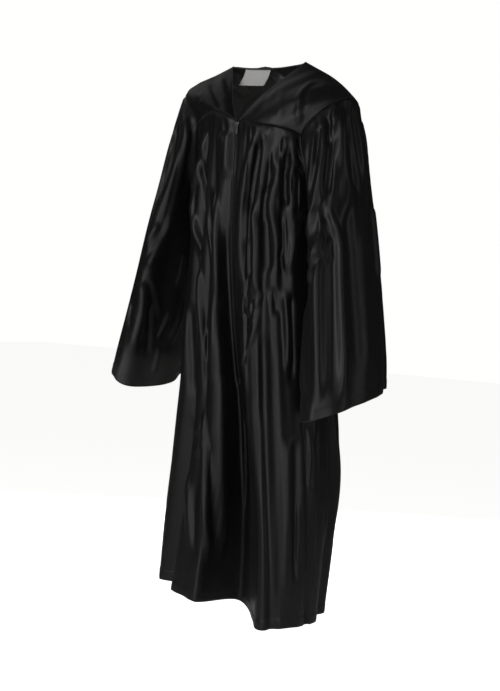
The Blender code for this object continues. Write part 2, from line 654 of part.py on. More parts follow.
def shared_normals(pieces):
    """At every corner, the mean direction in which all the pieces that meet there face. Along a
    seam it is evened out."""
    starts = np.cumsum([0, *(len(points) for points, _ in pieces.values())])
    tree = KDTree(int(starts[-1]))
    for start, (points, _) in zip(starts, pieces.values()):
        for k, point in enumerate(points):
            tree.insert(Vector(point), int(start) + k)
    tree.balance()
    same = {
        name: [min(found[1] for found in tree.find_range(Vector(p), SAME_POINT)) for p in points]
        for name, (points, _) in pieces.items()
    }
    total = np.zeros((int(starts[-1]), 3))
    sewn = {}
    for name, (points, triangles) in pieces.items():
        normals = face_normals(points, triangles)
        normals /= np.maximum(np.linalg.norm(normals, axis=1, keepdims=True), 1e-12)
        for triangle, normal in zip(triangles, normals):
            for k in range(3):
                here, after, before = (points[triangle[(k + j) % 3]] for j in range(3))
                one, two = after - here, before - here
                cosine = one @ two / max(np.linalg.norm(one) * np.linalg.norm(two), 1e-12)
                total[same[name][triangle[k]]] += normal * math.acos(max(-1.0, min(1.0, cosine)))
        for a, b in border_of(triangles):
            pair = frozenset((same[name][a], same[name][b]))
            sewn[pair] = sewn.get(pair, 0) + 1
    total /= np.maximum(np.linalg.norm(total, axis=1, keepdims=True), 1e-12)
    for _ in range(SEAM_SMOOTHING):
        spread = total.copy()
        for one, two in (tuple(pair) for pair, count in sewn.items() if count > 1):
            spread[one] += total[two]
            spread[two] += total[one]
        total = spread / np.maximum(np.linalg.norm(spread, axis=1, keepdims=True), 1e-12)
    return {name: total[indices] for name, indices in same.items()}


def laid_out(points, triangles, mitre):
    """A middle surface drawn back from its edges by half a seam gap, and the direction in which
    each of its corners moves per metre of thickness."""
    flat = face_normals(points, triangles)
    flat /= np.linalg.norm(flat, axis=1, keepdims=True)
    own = np.zeros_like(points)
    for triangle, normal in zip(triangles, flat):
        for corner in triangle:
            own[corner] += normal
    own /= np.linalg.norm(own, axis=1, keepdims=True)
    outward = mitre / np.maximum((own * mitre).sum(axis=1, keepdims=True), 0.8)
    back = {}
    for a, b in border_of(triangles):
        for end in (a, b):
            direction = np.cross(mitre[end], points[b] - points[a])
            back.setdefault(end, []).append(direction / np.linalg.norm(direction))
    middle = points.copy()
    for corner, (one, two) in back.items():
        middle[corner] += (one + two) / max(1 + one @ two, 0.3) * SEAM_GAP / 2
    return middle, outward


def border_of(triangles):
    edges = {(t[k], t[(k + 1) % 3]): None for t in triangles for k in range(3)}
    return [edge for edge in edges if edge[::-1] not in edges]


def wall(outer, inner, triangles):
    """A closed wall between two surfaces that have the same triangles."""
    count = len(outer)
    faces = [tuple(t) for t in triangles] + [tuple(c + count for c in t[::-1]) for t in triangles]
    faces += [(b, a, a + count, b + count) for a, b in border_of(triangles)]
    return np.vstack([outer, inner]), faces


def material(name, colour, roughness, metallic=0.0, sheen=0.0):
    made = bpy.data.materials.new(name)
    made.use_nodes = True
    shader = made.node_tree.nodes["Principled BSDF"]
    shader.inputs["Base Color"].default_value = (*colour, 1.0)
    shader.inputs["Roughness"].default_value = roughness
    shader.inputs["Metallic"].default_value = metallic
    shader.inputs["Sheen Weight"].default_value = sheen
    return made


def build(name, points, faces, look, smooth=True):
    mesh = bpy.data.meshes.new(name)
    mesh.from_pydata([tuple(float(c) for c in p) for p in points], [], faces)
    mesh.materials.append(look)
    mesh.validate()
    if smooth:
        mesh.shade_smooth()
    made = bpy.data.objects.new(name, mesh)
    bpy.context.scene.collection.objects.link(made)
    return made


def cells(x, y, z, filled):
    """A closed body of boxes. filled lists, for each box, its range of steps along x, y and z."""
    full = np.zeros((len(x) + 1, len(y) + 1, len(z) + 1), bool)
    for (x0, x1), (y0, y1), (z0, z1) in filled:
        full[x0 + 1 : x1 + 1, y0 + 1 : y1 + 1, z0 + 1 : z1 + 1] = True
    corners, faces = {}, []
    for i, j, k in np.argwhere(full):
        for axis in range(3):
            for step in (-1, 1):
                other = [i, j, k]
                other[axis] += step
                if full[tuple(other)]:
                    continue
                one, two = (axis + 1) % 3, (axis + 2) % 3
                face = []
                for a, b in ((0, 0), (1, 0), (1, 1), (0, 1)):
                    corner = [i - 1, j - 1, k - 1]
                    corner[axis] += step > 0
                    corner[one] += a
                    corner[two] += b
                    face.append(corners.setdefault(tuple(int(c) for c in corner), len(corners)))
                faces.append(face if step > 0 else face[::-1])
    return np.array([(x[i], y[j], z[k]) for i, j, k in corners]), faces


def tape(side, layers):
    """One zip tape, behind the front edge of a front panel and as wide as its first lines."""
    last = PANEL_ROWS.index(ZIP_END)
    grids = {}
    for name in SIDES:
        for part, values in zip(("middle", "outward"), layers[f"front_panel_{name}"]):
            grid = values.reshape(len(PANEL_ROWS), -1, 3)[: last + 2, : TAPE_COLUMNS + 1].copy()
            grid[-1] = grid[-2] + (grid[-1] - grid[-2]) * TAPE_RUN_ON
            grids[name, part] = grid
    left, right = grids["left", "middle"][:, 0], grids["right", "middle"][:, 0]
    across = (left - right) / np.linalg.norm(left - right, axis=1, keepdims=True)
    inner = (left + right) / 2 + across * SIDES[side] * SEAM_GAP / 2
    inner[0] += across[0] * SIDES[side] * TAPE_PARTED
    middle = np.concatenate([inner[:, None], grids[side, "middle"]], axis=1)
    outward = np.concatenate([grids[side, "outward"][:, :1], grids[side, "outward"]], axis=1)
    points, triangles = grid_surface(middle, flip=side == "right", odd=1)
    outward = outward.reshape(-1, 3)
    front = points - outward * (CLOTH / 2 + SEAM_GAP)
    return wall(front, front - outward * TAPE_THICK, triangles)


def slider_middle():
    down = SLIDER_DROP / FRONT_HEIGHT
    return np.array([0.0, panel_point("left", 0.0, down)[1], -V_DEPTH - SLIDER_DROP])


def slider():
    """Two plates joined by a post, with a bail on the front for the pull tab."""
    half, post, bar = SLIDER_WIDTH / 2, 0.0008, BAIL_BAR / 2
    x = (-half, -post, -bar, bar, post, half)
    plate_front, plate_back = -0.0018, -0.0007
    bail_front = plate_front - BAIL_REACH
    y = (bail_front, bail_front + BAIL_BAR, plate_front, plate_back, 0.0028, 0.0037)
    tall, arch = SLIDER_HEIGHT / 2, BAIL_HEIGHT / 2
    z = (-tall, -arch, -arch + BAIL_BAR, 0.0014, arch - BAIL_BAR, arch, tall)
    z = tuple(sorted(z))
    boxes = [
        ((0, 5), (2, 3), (0, 6)),
        ((0, 5), (4, 5), (0, 6)),
        ((1, 4), (3, 4), (3, 5)),
        ((2, 3), (0, 1), (1, 5)),
        ((2, 3), (1, 2), (1, 2)),
        ((2, 3), (1, 2), (4, 5)),
    ]
    points, faces = cells(x, y, z, boxes)
    wide = np.abs(points[:, 0]) > post + 1e-6
    low = ease((tall * 0.2 - points[:, 2]) / (tall * 1.2))
    points[:, 0] *= np.where(wide, 1 - low * (1 - SLIDER_NOSE / SLIDER_WIDTH), 1)
    return points + slider_middle(), faces


def tab_axis():
    """The point about which the pull tab turns, round a line along X."""
    forward = 0.0018 + (BAIL_REACH - BAIL_BAR) / 2
    return slider_middle() + np.array([0.0, -forward, -BAIL_HEIGHT / 2 + BAIL_BAR + 0.0009])


def pull_tab():
    half, hole, thick = TAB_WIDTH / 2, TAB_HOLE_WIDTH / 2, TAB_THICK / 2
    x = (-half, -hole, hole, half)
    y = (-thick, thick)
    z = (-TAB_LENGTH, -TAB_LENGTH + 0.0012, -TAB_HOLE_LENGTH, -thick, thick)
    boxes = [
        ((0, 3), (0, 1), (0, 2)),
        ((0, 1), (0, 1), (2, 4)),
        ((2, 3), (0, 1), (2, 4)),
        ((1, 2), (0, 1), (3, 4)),
    ]
    points, faces = cells(x, y, z, boxes)
    foot = points[:, 2] < -TAB_LENGTH + 0.0001
    points[foot, 0] *= 0.6
    return points + tab_axis(), faces


def label(layers, triangles):
    """A plain rectangle, sewn on by its top edge inside the back of the neck and hanging free."""
    middle, outward = layers
    surface = BVHTree.FromPolygons([Vector(p) for p in middle], triangles)
    centre = BACK_YOKE_NECK[0] + (BACK_YOKE_NECK[1] - BACK_YOKE_NECK[0]) * LABEL_PLACE
    tries = np.linspace(0, 1, 101)
    steps = np.linalg.norm(np.diff(yoke_point("back", centre + 0 * tries, tries), axis=0), axis=1)
    v = np.interp(LABEL_BELOW_NECK, np.concatenate([[0], np.cumsum(steps)]), tries)
    steps = np.linalg.norm(np.diff(yoke_point("back", tries, v + 0 * tries), axis=0), axis=1)
    along = np.concatenate([[0], np.cumsum(steps)])
    reach = np.interp(centre, tries, along) + LABEL_WIDTH * np.linspace(-0.5, 0.5, 9)
    top = []
    for u in np.interp(reach, along, tries):
        place, _, index, _ = surface.find_nearest(Vector(yoke_point("back", u, v)))
        corners = triangles[index]
        shares = poly_3d_calc([Vector(middle[c]) for c in corners], place)
        outside = sum(share * outward[c] for share, c in zip(shares, corners))
        top.append(np.array(place) - outside / np.linalg.norm(outside) * (CLOTH / 2 + LABEL_GAP))
    top = np.array(top)
    forward = np.cross((0.0, 0.0, 1.0), np.gradient(top, axis=0))
    forward /= np.linalg.norm(forward, axis=1, keepdims=True)
    down = np.linspace(0, 1, 6)[:, None]
    swing = down**1.5 * LABEL_SWING
    drop = np.sqrt((LABEL_DROP * down) ** 2 - (swing**2).sum(axis=1, keepdims=True))
    back = top + np.concatenate([swing, -drop], axis=1)[:, None]
    points, faces = grid_surface(back + forward * LABEL_THICK, flip=True)
    return wall(points, back.reshape(-1, 3), faces)


def main():
    for old in list(bpy.data.objects):
        bpy.data.objects.remove(old, do_unlink=True)
    pieces = cloth_pieces()
    normals = shared_normals(pieces)
    layers = {}
    for name, (points, triangles) in pieces.items():
        middle, outward = layers[name] = laid_out(points, triangles, normals[name])
        satin = material(f"{name}_satin", (0.012, 0.012, 0.014), 0.38, sheen=0.3)
        build(name, *wall(middle + outward * CLOTH / 2, middle - outward * CLOTH / 2, triangles), satin)
    for side in SIDES:
        weave = material(f"zip_tape_{side}_weave", (0.013, 0.013, 0.014), 0.75)
        build(f"zip_tape_{side}", *tape(side, layers), weave)
    for name, made, roughness in (("zip_slider", slider(), 0.35), ("pull_tab", pull_tab(), 0.32)):
        metal = material(f"{name}_metal", (0.42, 0.42, 0.44), roughness, metallic=1.0)
        build(name, *made, metal, smooth=False)
    plain_label = label(layers["back_yoke"], pieces["back_yoke"][1])
    build("label", *plain_label, material("label_weave", (0.86, 0.85, 0.82), 0.8))


main()
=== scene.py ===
"""A black satin choir robe in the hollow shape that it has when worn: yokes, gathered panels,
bell sleeves, front zip and neck label, on the part's own frame.

Units are metres, +Z is up, the front faces -Y and the wearer's left is +X.
"""

import math

import bmesh
import bpy
import numpy as np
from mathutils import Matrix, Vector


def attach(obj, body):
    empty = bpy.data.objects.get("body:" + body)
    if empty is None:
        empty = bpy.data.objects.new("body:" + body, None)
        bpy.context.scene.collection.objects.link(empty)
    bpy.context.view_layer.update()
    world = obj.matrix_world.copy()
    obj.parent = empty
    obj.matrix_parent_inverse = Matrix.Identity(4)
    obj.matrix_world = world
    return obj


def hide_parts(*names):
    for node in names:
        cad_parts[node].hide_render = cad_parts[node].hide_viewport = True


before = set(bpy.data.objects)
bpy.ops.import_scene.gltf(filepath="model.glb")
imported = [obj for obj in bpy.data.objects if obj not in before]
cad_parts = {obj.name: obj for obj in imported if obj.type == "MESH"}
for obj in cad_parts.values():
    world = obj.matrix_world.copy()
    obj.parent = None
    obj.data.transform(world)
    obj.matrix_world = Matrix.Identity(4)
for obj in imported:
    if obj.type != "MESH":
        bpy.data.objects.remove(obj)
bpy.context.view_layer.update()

# Cut of the robe. Seams and edges lie as in the part's source. The folds are shallower than
# there, because gathers and creases are added to them below.
ROBE_LENGTH = 1.212
V_DEPTH = 0.136
CHEST = 0.102
MIDDLE_RISE = 0.020
FRONT_HEIGHT = ROBE_LENGTH - MIDDLE_RISE - V_DEPTH
ZIP_LENGTH = 0.56
ZIP_SLOT = 0.0090
ZIP_END = ZIP_LENGTH / FRONT_HEIGHT
SLOT_CLOSES = 0.02
SLOT_REACH = 0.35  # share of each front in which the slot's width dies out
SWING_REACH = 0.8  # share of each front in which the hollow's swing dies out
PANEL_SETTLES = 0.20  # how far below its seam a panel has left the line of the seam
SLEEVE_SETTLES = 0.4  # the same for a sleeve, as a share of its length
BACK_YOKE_NECK = (0.36, 0.64)
SIDES = {"left": 1, "right": -1}

SECTION_COLUMNS = ("z", "half_width", "front", "back", "squareness", "to_left")
BODY_SECTIONS = (
    (-0.12, 0.150, 0.104, 0.075, 3.2, 0.000),
    (-0.30, 0.153, 0.108, 0.115, 3.0, 0.000),
    (-0.46, 0.160, 0.114, 0.145, 2.6, 0.002),
    (-0.60, 0.168, 0.114, 0.168, 2.5, 0.004),
    (-0.70, 0.175, 0.113, 0.184, 2.4, 0.007),
    (-0.80, 0.186, 0.116, 0.195, 2.3, 0.010),
    (-1.00, 0.196, 0.132, 0.190, 2.2, 0.011),
    (-1.22, 0.195, 0.156, 0.166, 2.1, 0.008),
)

# Shoulder seams, from the neck point out to the sleeve. The right shoulder stands higher and
# is drawn in a little, as the robe is worn.
SHOULDER = {
    "left": (
        (0.098, 0.000, 0.000),
        (0.135, 0.001, -0.020),
        (0.165, 0.002, -0.036),
        (0.187, 0.003, -0.050),
        (0.209, 0.004, -0.069),
        (0.222, 0.005, -0.083),
    ),
    "right": (
        (0.098, 0.000, 0.000),
        (0.131, 0.001, -0.012),
        (0.158, 0.002, -0.022),
        (0.178, 0.003, -0.032),
        (0.196, 0.004, -0.046),
        (0.205, 0.005, -0.058),
    ),
}

# Armhole of the left side, from the shoulder round the front, under the arm and up the back:
# name, x, y, z, and how much higher and how much further in the same point lies on the right.
ARMHOLE = (
    ("shoulder", 0.222, 0.005, -0.083, 0.025, 0.017),
    ("front_cap", 0.218, -0.030, -0.088, 0.026, 0.016),
    ("front_slope", 0.184, -0.061, -0.116, 0.030, 0.012),
    ("front_corner", 0.144, -0.071, -0.168, 0.036, 0.011),
    ("front_fold", 0.152, -0.046, -0.236, 0.020, 0.006),
    ("underarm", 0.155, 0.010, -0.300, 0.010, 0.001),
    ("back_fold", 0.152, 0.058, -0.238, 0.020, 0.002),
    ("back_corner", 0.145, 0.082, -0.168, 0.032, 0.009),
    ("back_slope", 0.182, 0.068, -0.124, 0.030, 0.012),
    ("back_cap", 0.216, 0.036, -0.094, 0.026, 0.016),
)
FRONT_CORNER = 0.3  # shares of the armhole at which its corners and the underarm lie
UNDERARM = 0.5
BACK_CORNER = 0.7

# Front edge of the neck on each side, between the neck point and the tip of the V
NECK_FRONT = {
    "left": ((0.098, 0.0, 0.0), (0.075, -0.021, -0.026), (0.050, -0.049, -0.058), (0.024, -0.080, -0.098)),
    "right": ((0.098, 0.0, 0.0), (0.082, -0.019, -0.026), (0.060, -0.047, -0.060), (0.031, -0.080, -0.102)),
}
NECK_BACK = ((0.098, 0.0, 0.0), (0.086, 0.011, -0.001), (0.050, 0.019, -0.003), (0.0, 0.022, -0.005))

# Seam between front yoke and front panel, between the tip of the V and the front corner
YOKE_SEAM = {
    "left": (
        (0.030, -0.104, -0.139),
        (0.066, -0.104, -0.147),
        (0.100, -0.098, -0.152),
        (0.128, -0.085, -0.159),
    ),
    "right": (
        (0.022, -0.104, -0.127),
        (0.045, -0.104, -0.118),
        (0.068, -0.101, -0.114),
        (0.090, -0.095, -0.118),
        (0.113, -0.085, -0.124),
    ),
}
# Seam between back yoke and back panel, from beside the left armhole to the middle
BACK_SEAM = ((0.125, 0.073, -0.132), (0.090, 0.060, -0.094), (0.045, 0.049, -0.062), (0.0, 0.046, -0.053))
YOKE_BULGE = {"front": 0.006, "back": 0.006}

# How high the hem hangs above its lowest point. place runs from the middle of the front to the
# side seam on the two fronts, and from the left side seam to the right one on the back.
HEM_RISE = {
    "left": ((0.0, MIDDLE_RISE), (0.12, 0.010), (0.35, 0.0), (0.60, 0.0), (0.75, 0.004), (1.0, 0.003)),
    "right": ((0.0, MIDDLE_RISE), (0.12, 0.032), (0.30, 0.042), (0.50, 0.050), (0.75, 0.056), (1.0, 0.058)),
    "back": ((0.0, 0.003), (0.25, 0.012), (0.50, 0.026), (0.75, 0.044), (1.0, 0.058)),
}

# The fronts turn in towards their middle and make one wide hollow there: how deep it is, how far
# it reaches into each front (as a share of it), and how far it swings to the wearer's left.
HOLLOW_COLUMNS = ("z", "depth", "left_reach", "right_reach", "swing")
FRONT_HOLLOW = (
    (-0.136, 0.000, 0.20, 0.20, 0.00),
    (-0.35, 0.010, 0.20, 0.18, 0.00),
    (-0.60, 0.045, 0.26, 0.18, 0.03),
    (-0.80, 0.085, 0.38, 0.19, 0.11),
    (-1.00, 0.125, 0.50, 0.21, 0.21),
    (-1.22, 0.160, 0.52, 0.23, 0.31),
)

# Folds. Each row is one trough that runs down a panel: its place across the panel at the top,
# half way down and at the hem, its depth just under the seam, at the chest, half way down and
# at the hem, and how much of the way to the next trough its flank takes.
FOLD_COLUMNS = ("top", "middle", "hem", "at_seam", "at_chest", "at_middle", "at_hem", "flank")
FOLD_DEPTHS_AT = (0.0, 0.022, 0.11, 0.5, 1.0)
FOLDS = {
    "left": (
        (0.05, 0.045, 0.03, 0.000, 0.000, 0.000, 0.000, 0.50),
        (0.11, 0.15, 0.22, 0.001, 0.001, 0.000, 0.000, 0.60),
        (0.18, 0.22, 0.30, 0.002, 0.001, 0.000, 0.000, 0.50),
        (0.26, 0.31, 0.41, 0.002, 0.004, 0.003, 0.001, 0.60),
        (0.35, 0.40, 0.51, 0.001, 0.000, 0.000, 0.000, 0.50),
        (0.43, 0.50, 0.62, 0.002, 0.005, 0.007, 0.010, 0.85),
        (0.51, 0.58, 0.71, 0.001, 0.000, 0.000, 0.000, 0.55),
        (0.59, 0.67, 0.80, 0.002, 0.005, 0.003, 0.002, 0.80),
        (0.66, 0.77, 0.90, 0.002, 0.001, 0.003, 0.006, 0.80),
    ),
    "right": (
        (0.05, 0.045, 0.03, 0.000, 0.000, 0.000, 0.000, 0.50),
        (0.15, 0.18, 0.22, 0.001, 0.000, 0.000, 0.000, 0.60),
        (0.25, 0.28, 0.33, 0.002, 0.004, 0.005, 0.003, 0.80),
        (0.35, 0.38, 0.44, 0.001, 0.000, 0.000, 0.000, 0.55),
        (0.44, 0.50, 0.57, 0.005, 0.010, 0.028, 0.068, 0.90),
        (0.53, 0.61, 0.70, 0.002, 0.002, 0.000, 0.000, 0.55),
        (0.62, 0.72, 0.82, 0.004, 0.005, 0.003, 0.002, 0.60),
    ),
    "back": (
        (0.19, 0.14, 0.12, 0.004, 0.009, 0.012, 0.018, 0.60),
        (0.25, 0.21, 0.20, 0.004, 0.007, 0.006, 0.006, 0.50),
        (0.31, 0.29, 0.28, 0.005, 0.011, 0.017, 0.026, 0.65),
        (0.37, 0.36, 0.36, 0.004, 0.008, 0.007, 0.006, 0.50),
        (0.43, 0.43, 0.43, 0.005, 0.010, 0.014, 0.022, 0.60),
        (0.49, 0.50, 0.51, 0.004, 0.012, 0.020, 0.030, 0.65),
        (0.55, 0.57, 0.58, 0.004, 0.008, 0.007, 0.008, 0.50),
        (0.61, 0.64, 0.65, 0.005, 0.011, 0.016, 0.024, 0.60),
        (0.67, 0.70, 0.72, 0.004, 0.008, 0.007, 0.006, 0.50),
        (0.73, 0.78, 0.80, 0.004, 0.009, 0.012, 0.020, 0.60),
        (0.79, 0.86, 0.88, 0.004, 0.008, 0.007, 0.008, 0.50),
    ),
}
CORNER = {"left": 0.71, "right": 0.71, "back": 0.15}  # where the armhole cuts a panel's top edge
ARM_TUCK = 0.007  # how far a panel falls inwards just below the armhole seam
ARM_TUCK_HEIGHT = 0.020
ARM_TUCK_FADE = 0.06  # share of a panel in which the tuck starts, beside the armhole's corner

# Sleeve rings of the left side below the armhole, each through an outer and an inner point.
# The front of a ring hangs lower than its back by twice front_drop.
RING_COLUMNS = (
    "share", "outer_x", "outer_z", "inner_x", "inner_z",
    "front_y", "back_y", "front_drop", "right_in", "right_lift",
)
SLEEVE_RINGS = (
    (0.00, 0.222, -0.083, 0.155, -0.300, -0.075, 0.080, 0.000, 0.017, 0.025),
    (0.07, 0.232, -0.125, 0.176, -0.313, -0.088, 0.088, 0.000, 0.020, 0.025),
    (0.16, 0.243, -0.180, 0.182, -0.345, -0.098, 0.095, 0.002, 0.023, 0.026),
    (0.30, 0.258, -0.270, 0.180, -0.400, -0.108, 0.100, 0.004, 0.026, 0.028),
    (0.45, 0.279, -0.375, 0.183, -0.470, -0.122, 0.104, 0.008, 0.030, 0.031),
    (0.60, 0.299, -0.480, 0.187, -0.550, -0.135, 0.105, 0.014, 0.034, 0.034),
    (0.75, 0.319, -0.580, 0.192, -0.632, -0.149, 0.104, 0.020, 0.038, 0.037),
    (0.88, 0.332, -0.655, 0.198, -0.695, -0.161, 0.100, 0.026, 0.041, 0.040),
    (1.00, 0.337, -0.708, 0.204, -0.745, -0.170, 0.096, 0.030, 0.043, 0.042),
)
RIGHT_CUFF_LIFT = 0.006  # more at the front of the right cuff, by up to twice this

# Sleeve folds, with the columns of the panels' folds. Places run round the sleeve from its
# outer edge over the front (0.25) and the inner side (0.5) to the back (0.75).
SLEEVE_FOLDS = {
    "left": (
        (0.035, 0.03, 0.02, 0.003, 0.003, 0.001, 0.000, 0.55),
        (0.085, 0.08, 0.08, 0.004, 0.006, 0.005, 0.005, 0.80),
        (0.135, 0.13, 0.14, 0.003, 0.002, 0.000, 0.000, 0.50),
        (0.185, 0.19, 0.20, 0.004, 0.006, 0.004, 0.004, 0.80),
        (0.235, 0.25, 0.27, 0.003, 0.003, 0.001, 0.001, 0.50),
        (0.40, 0.40, 0.40, 0.000, 0.003, 0.008, 0.012, 0.45),
        (0.60, 0.60, 0.60, 0.000, 0.003, 0.008, 0.012, 0.45),
        (0.77, 0.76, 0.75, 0.004, 0.006, 0.010, 0.013, 0.80),
        (0.83, 0.83, 0.83, 0.003, 0.003, 0.001, 0.001, 0.50),
        (0.885, 0.89, 0.90, 0.004, 0.007, 0.008, 0.010, 0.80),
        (0.94, 0.945, 0.96, 0.003, 0.003, 0.001, 0.001, 0.50),
    ),
    "right": (
        (0.04, 0.035, 0.02, 0.003, 0.003, 0.001, 0.001, 0.55),
        (0.10, 0.095, 0.09, 0.004, 0.006, 0.006, 0.006, 0.80),
        (0.155, 0.15, 0.15, 0.003, 0.002, 0.001, 0.001, 0.50),
        (0.215, 0.22, 0.23, 0.004, 0.006, 0.005, 0.006, 0.60),
        (0.40, 0.40, 0.40, 0.000, 0.003, 0.008, 0.012, 0.45),
        (0.60, 0.60, 0.60, 0.000, 0.003, 0.008, 0.012, 0.45),
        (0.78, 0.77, 0.76, 0.004, 0.006, 0.010, 0.013, 0.80),
        (0.84, 0.84, 0.84, 0.003, 0.003, 0.001, 0.001, 0.50),
        (0.90, 0.90, 0.91, 0.004, 0.007, 0.009, 0.012, 0.80),
        (0.955, 0.96, 0.97, 0.003, 0.003, 0.001, 0.001, 0.50),
    ),
}


def through(xs, ys, x):
    """A smooth line through the points (xs, ys), read at x."""
    xs, ys = np.asarray(xs, float), np.asarray(ys, float)
    x = np.clip(x, xs[0], xs[-1])
    slopes = np.gradient(ys, xs)
    k = np.clip(np.searchsorted(xs, x) - 1, 0, len(xs) - 2)
    h = xs[k + 1] - xs[k]
    t = (x - xs[k]) / h
    start = (1 + 2 * t) * (1 - t) ** 2 * ys[k] + t * (1 - t) ** 2 * h * slopes[k]
    end = t * t * (3 - 2 * t) * ys[k + 1] - t * t * (1 - t) * h * slopes[k + 1]
    return start + end


def through_points(xs, points, x):
    points = np.asarray(points, float)
    return np.stack([through(xs, points[:, k], x) for k in range(3)], axis=-1)


def ease(t):
    """0 below 0, 1 above 1, and a smooth step between."""
    t = np.clip(t, 0.0, 1.0)
    return t * t * (3 - 2 * t)


def hump(t):
    """1 at 0, and smoothly down to 0 at 1 and beyond, on both sides."""
    return (1 + np.cos(math.pi * np.clip(np.abs(t), 0, 1))) / 2


def column(rows, columns, name):
    return [row[columns.index(name)] for row in rows]


def read_table(rows, columns, at):
    """The further columns of a table as smooth lines, each read at a value of its first column."""
    rows = sorted(rows)
    first = column(rows, columns, columns[0])
    return {name: through(first, column(rows, columns, name), at) for name in columns[1:]}


def space_curve(points, t):
    """Points at shares t of the length of a smooth curve through the given points."""
    points = np.asarray(points, float)
    steps = np.linalg.norm(np.diff(points, axis=0), axis=1)
    along = np.concatenate([[0.0], np.cumsum(steps)]) / steps.sum()
    return through_points(along, points, np.asarray(t, float))


def mirrored(points, side):
    return np.asarray(points, float) * (SIDES[side], 1, 1)


def v_tip(side):
    return np.array([SIDES[side] * ZIP_SLOT / 2, -CHEST, -V_DEPTH])


def shoulder(side, t):
    return space_curve(mirrored(SHOULDER[side], side), t)


def armhole(side, place):
    """The armhole at a share round it, from the shoulder over the front."""
    right = side == "right"
    points = [(SIDES[side] * (x - right * inner), y, z + right * lift) for _, x, y, z, lift, inner in ARMHOLE]
    count = len(points)
    laps = np.tile(np.array(points), (3, 1))
    return through_points(np.arange(3.0 * count), laps, count * (1 + np.asarray(place, float)))


def yoke_seam(side, t):
    """From the tip of the V to the front corner of the armhole."""
    inner = np.vstack([v_tip(side), mirrored(YOKE_SEAM[side], side)])
    return space_curve(np.vstack([inner, armhole(side, FRONT_CORNER)]), t)


def back_seam(t):
    """From the back corner of the left armhole to that of the right one."""
    left, right = armhole("left", BACK_CORNER), armhole("right", BACK_CORNER)
    half = np.asarray(BACK_SEAM, float)
    other = mirrored(half[-2::-1], "right")
    other[:, 2] += (right[2] - left[2]) * np.linspace(0.3, 0.9, len(other))
    return space_curve(np.vstack([left, half, other, right]), t)


def neck_front(side, t):
    return space_curve(np.vstack([mirrored(NECK_FRONT[side], side), v_tip(side)]), t)


def neck_back(t):
    """From the left neck point round the back to the right one."""
    half = np.asarray(NECK_BACK, float)
    return space_curve(np.vstack([half, mirrored(half[-2::-1], "right")]), t)


def back_yoke_top(t):
    """Left shoulder inwards, round the back of the neck, and right shoulder outwards."""
    a, b = BACK_YOKE_NECK
    left = shoulder("left", 1 - np.clip(t / a, 0, 1))
    right = shoulder("right", np.clip((t - b) / (1 - b), 0, 1))
    neck = neck_back(np.clip((t - a) / (b - a), 0, 1))
    t = np.asarray(t, float)[..., None]
    return np.where(t < a, left, np.where(t > b, right, neck))


def patch(top, bottom, first, last, bulge, u, v):
    """A smooth surface between four edges that meet at their ends, raised in its middle."""
    u, v = np.asarray(u, float), np.asarray(v, float)
    a, b = u[..., None], v[..., None]
    zero, one = np.zeros_like(u), np.ones_like(u)
    along = (1 - b) * top(u) + b * bottom(u)
    down = (1 - a) * first(v) + a * last(v)
    corners = (1 - a) * (1 - b) * top(zero) + a * (1 - b) * top(one)
    corners = corners + (1 - a) * b * bottom(zero) + a * b * bottom(one)
    return along + down - corners + bulge * (16 * u * (1 - u) * v * (1 - v))[..., None] ** 0.75


def yoke_point(name, u, v):
    """A point of a yoke's middle surface. v runs from the shoulder down to the seam."""
    if name == "back":
        return patch(
            back_yoke_top,
            back_seam,
            lambda t: armhole("left", 1 - t * (1 - BACK_CORNER)),
            lambda t: armhole("right", 1 - t * (1 - BACK_CORNER)),
            YOKE_BULGE["back"] * np.array([0.0, 0.9, 0.4]),
            u,
            v,
        )
    return patch(
        lambda t: shoulder(name, t),
        lambda t: yoke_seam(name, t),
        lambda t: neck_front(name, t),
        lambda t: armhole(name, t * FRONT_CORNER),
        YOKE_BULGE["front"] * np.array([SIDES[name] * 0.2, -0.75, 0.65]),
        u,
        v,
    )


def body_point(turn, z):
    """The body without folds. turn is the angle from the middle of the front, in radians,
    positive towards the wearer's left."""
    reach = read_table(BODY_SECTIONS, SECTION_COLUMNS, z)
    forward = np.cos(turn)
    depth = np.where(forward > 0, reach["front"], reach["back"])
    power = reach["squareness"]
    across = np.abs(np.sin(turn)) / reach["half_width"]
    radius = (across**power + (np.abs(forward) / depth) ** power) ** (-1 / power)
    return np.stack([reach["to_left"] + radius * np.sin(turn), -radius * forward, z + 0 * turn], axis=-1)


def front_hollow(name, share, z):
    """Shift and swing of the hollow in the middle of the front, at a share of one front."""
    hollow = read_table(FRONT_HOLLOW, HOLLOW_COLUMNS, z)
    swing = hollow["swing"]
    deep = hollow["depth"] * hump(share / hollow[f"{name}_reach"])
    backward = np.stack([-np.sin(swing), np.cos(swing), 0 * swing], axis=-1)
    return backward * deep[..., None], swing * (1 - ease(share / SWING_REACH))


def plain_point(name, share, z, down):
    """A point of a panel without its folds, at a share across it."""
    if name == "back":
        return body_point(math.pi / 2 + share * math.pi, z)
    hollow, swing = front_hollow(name, share, z)
    point = body_point(SIDES[name] * share * math.pi / 2 + swing, z) + hollow
    opening = ZIP_SLOT / 2 * (1 - ease((down - ZIP_END) / SLOT_CLOSES))
    point[..., 0] += SIDES[name] * opening * (1 - ease(share / SLOT_REACH))
    return point


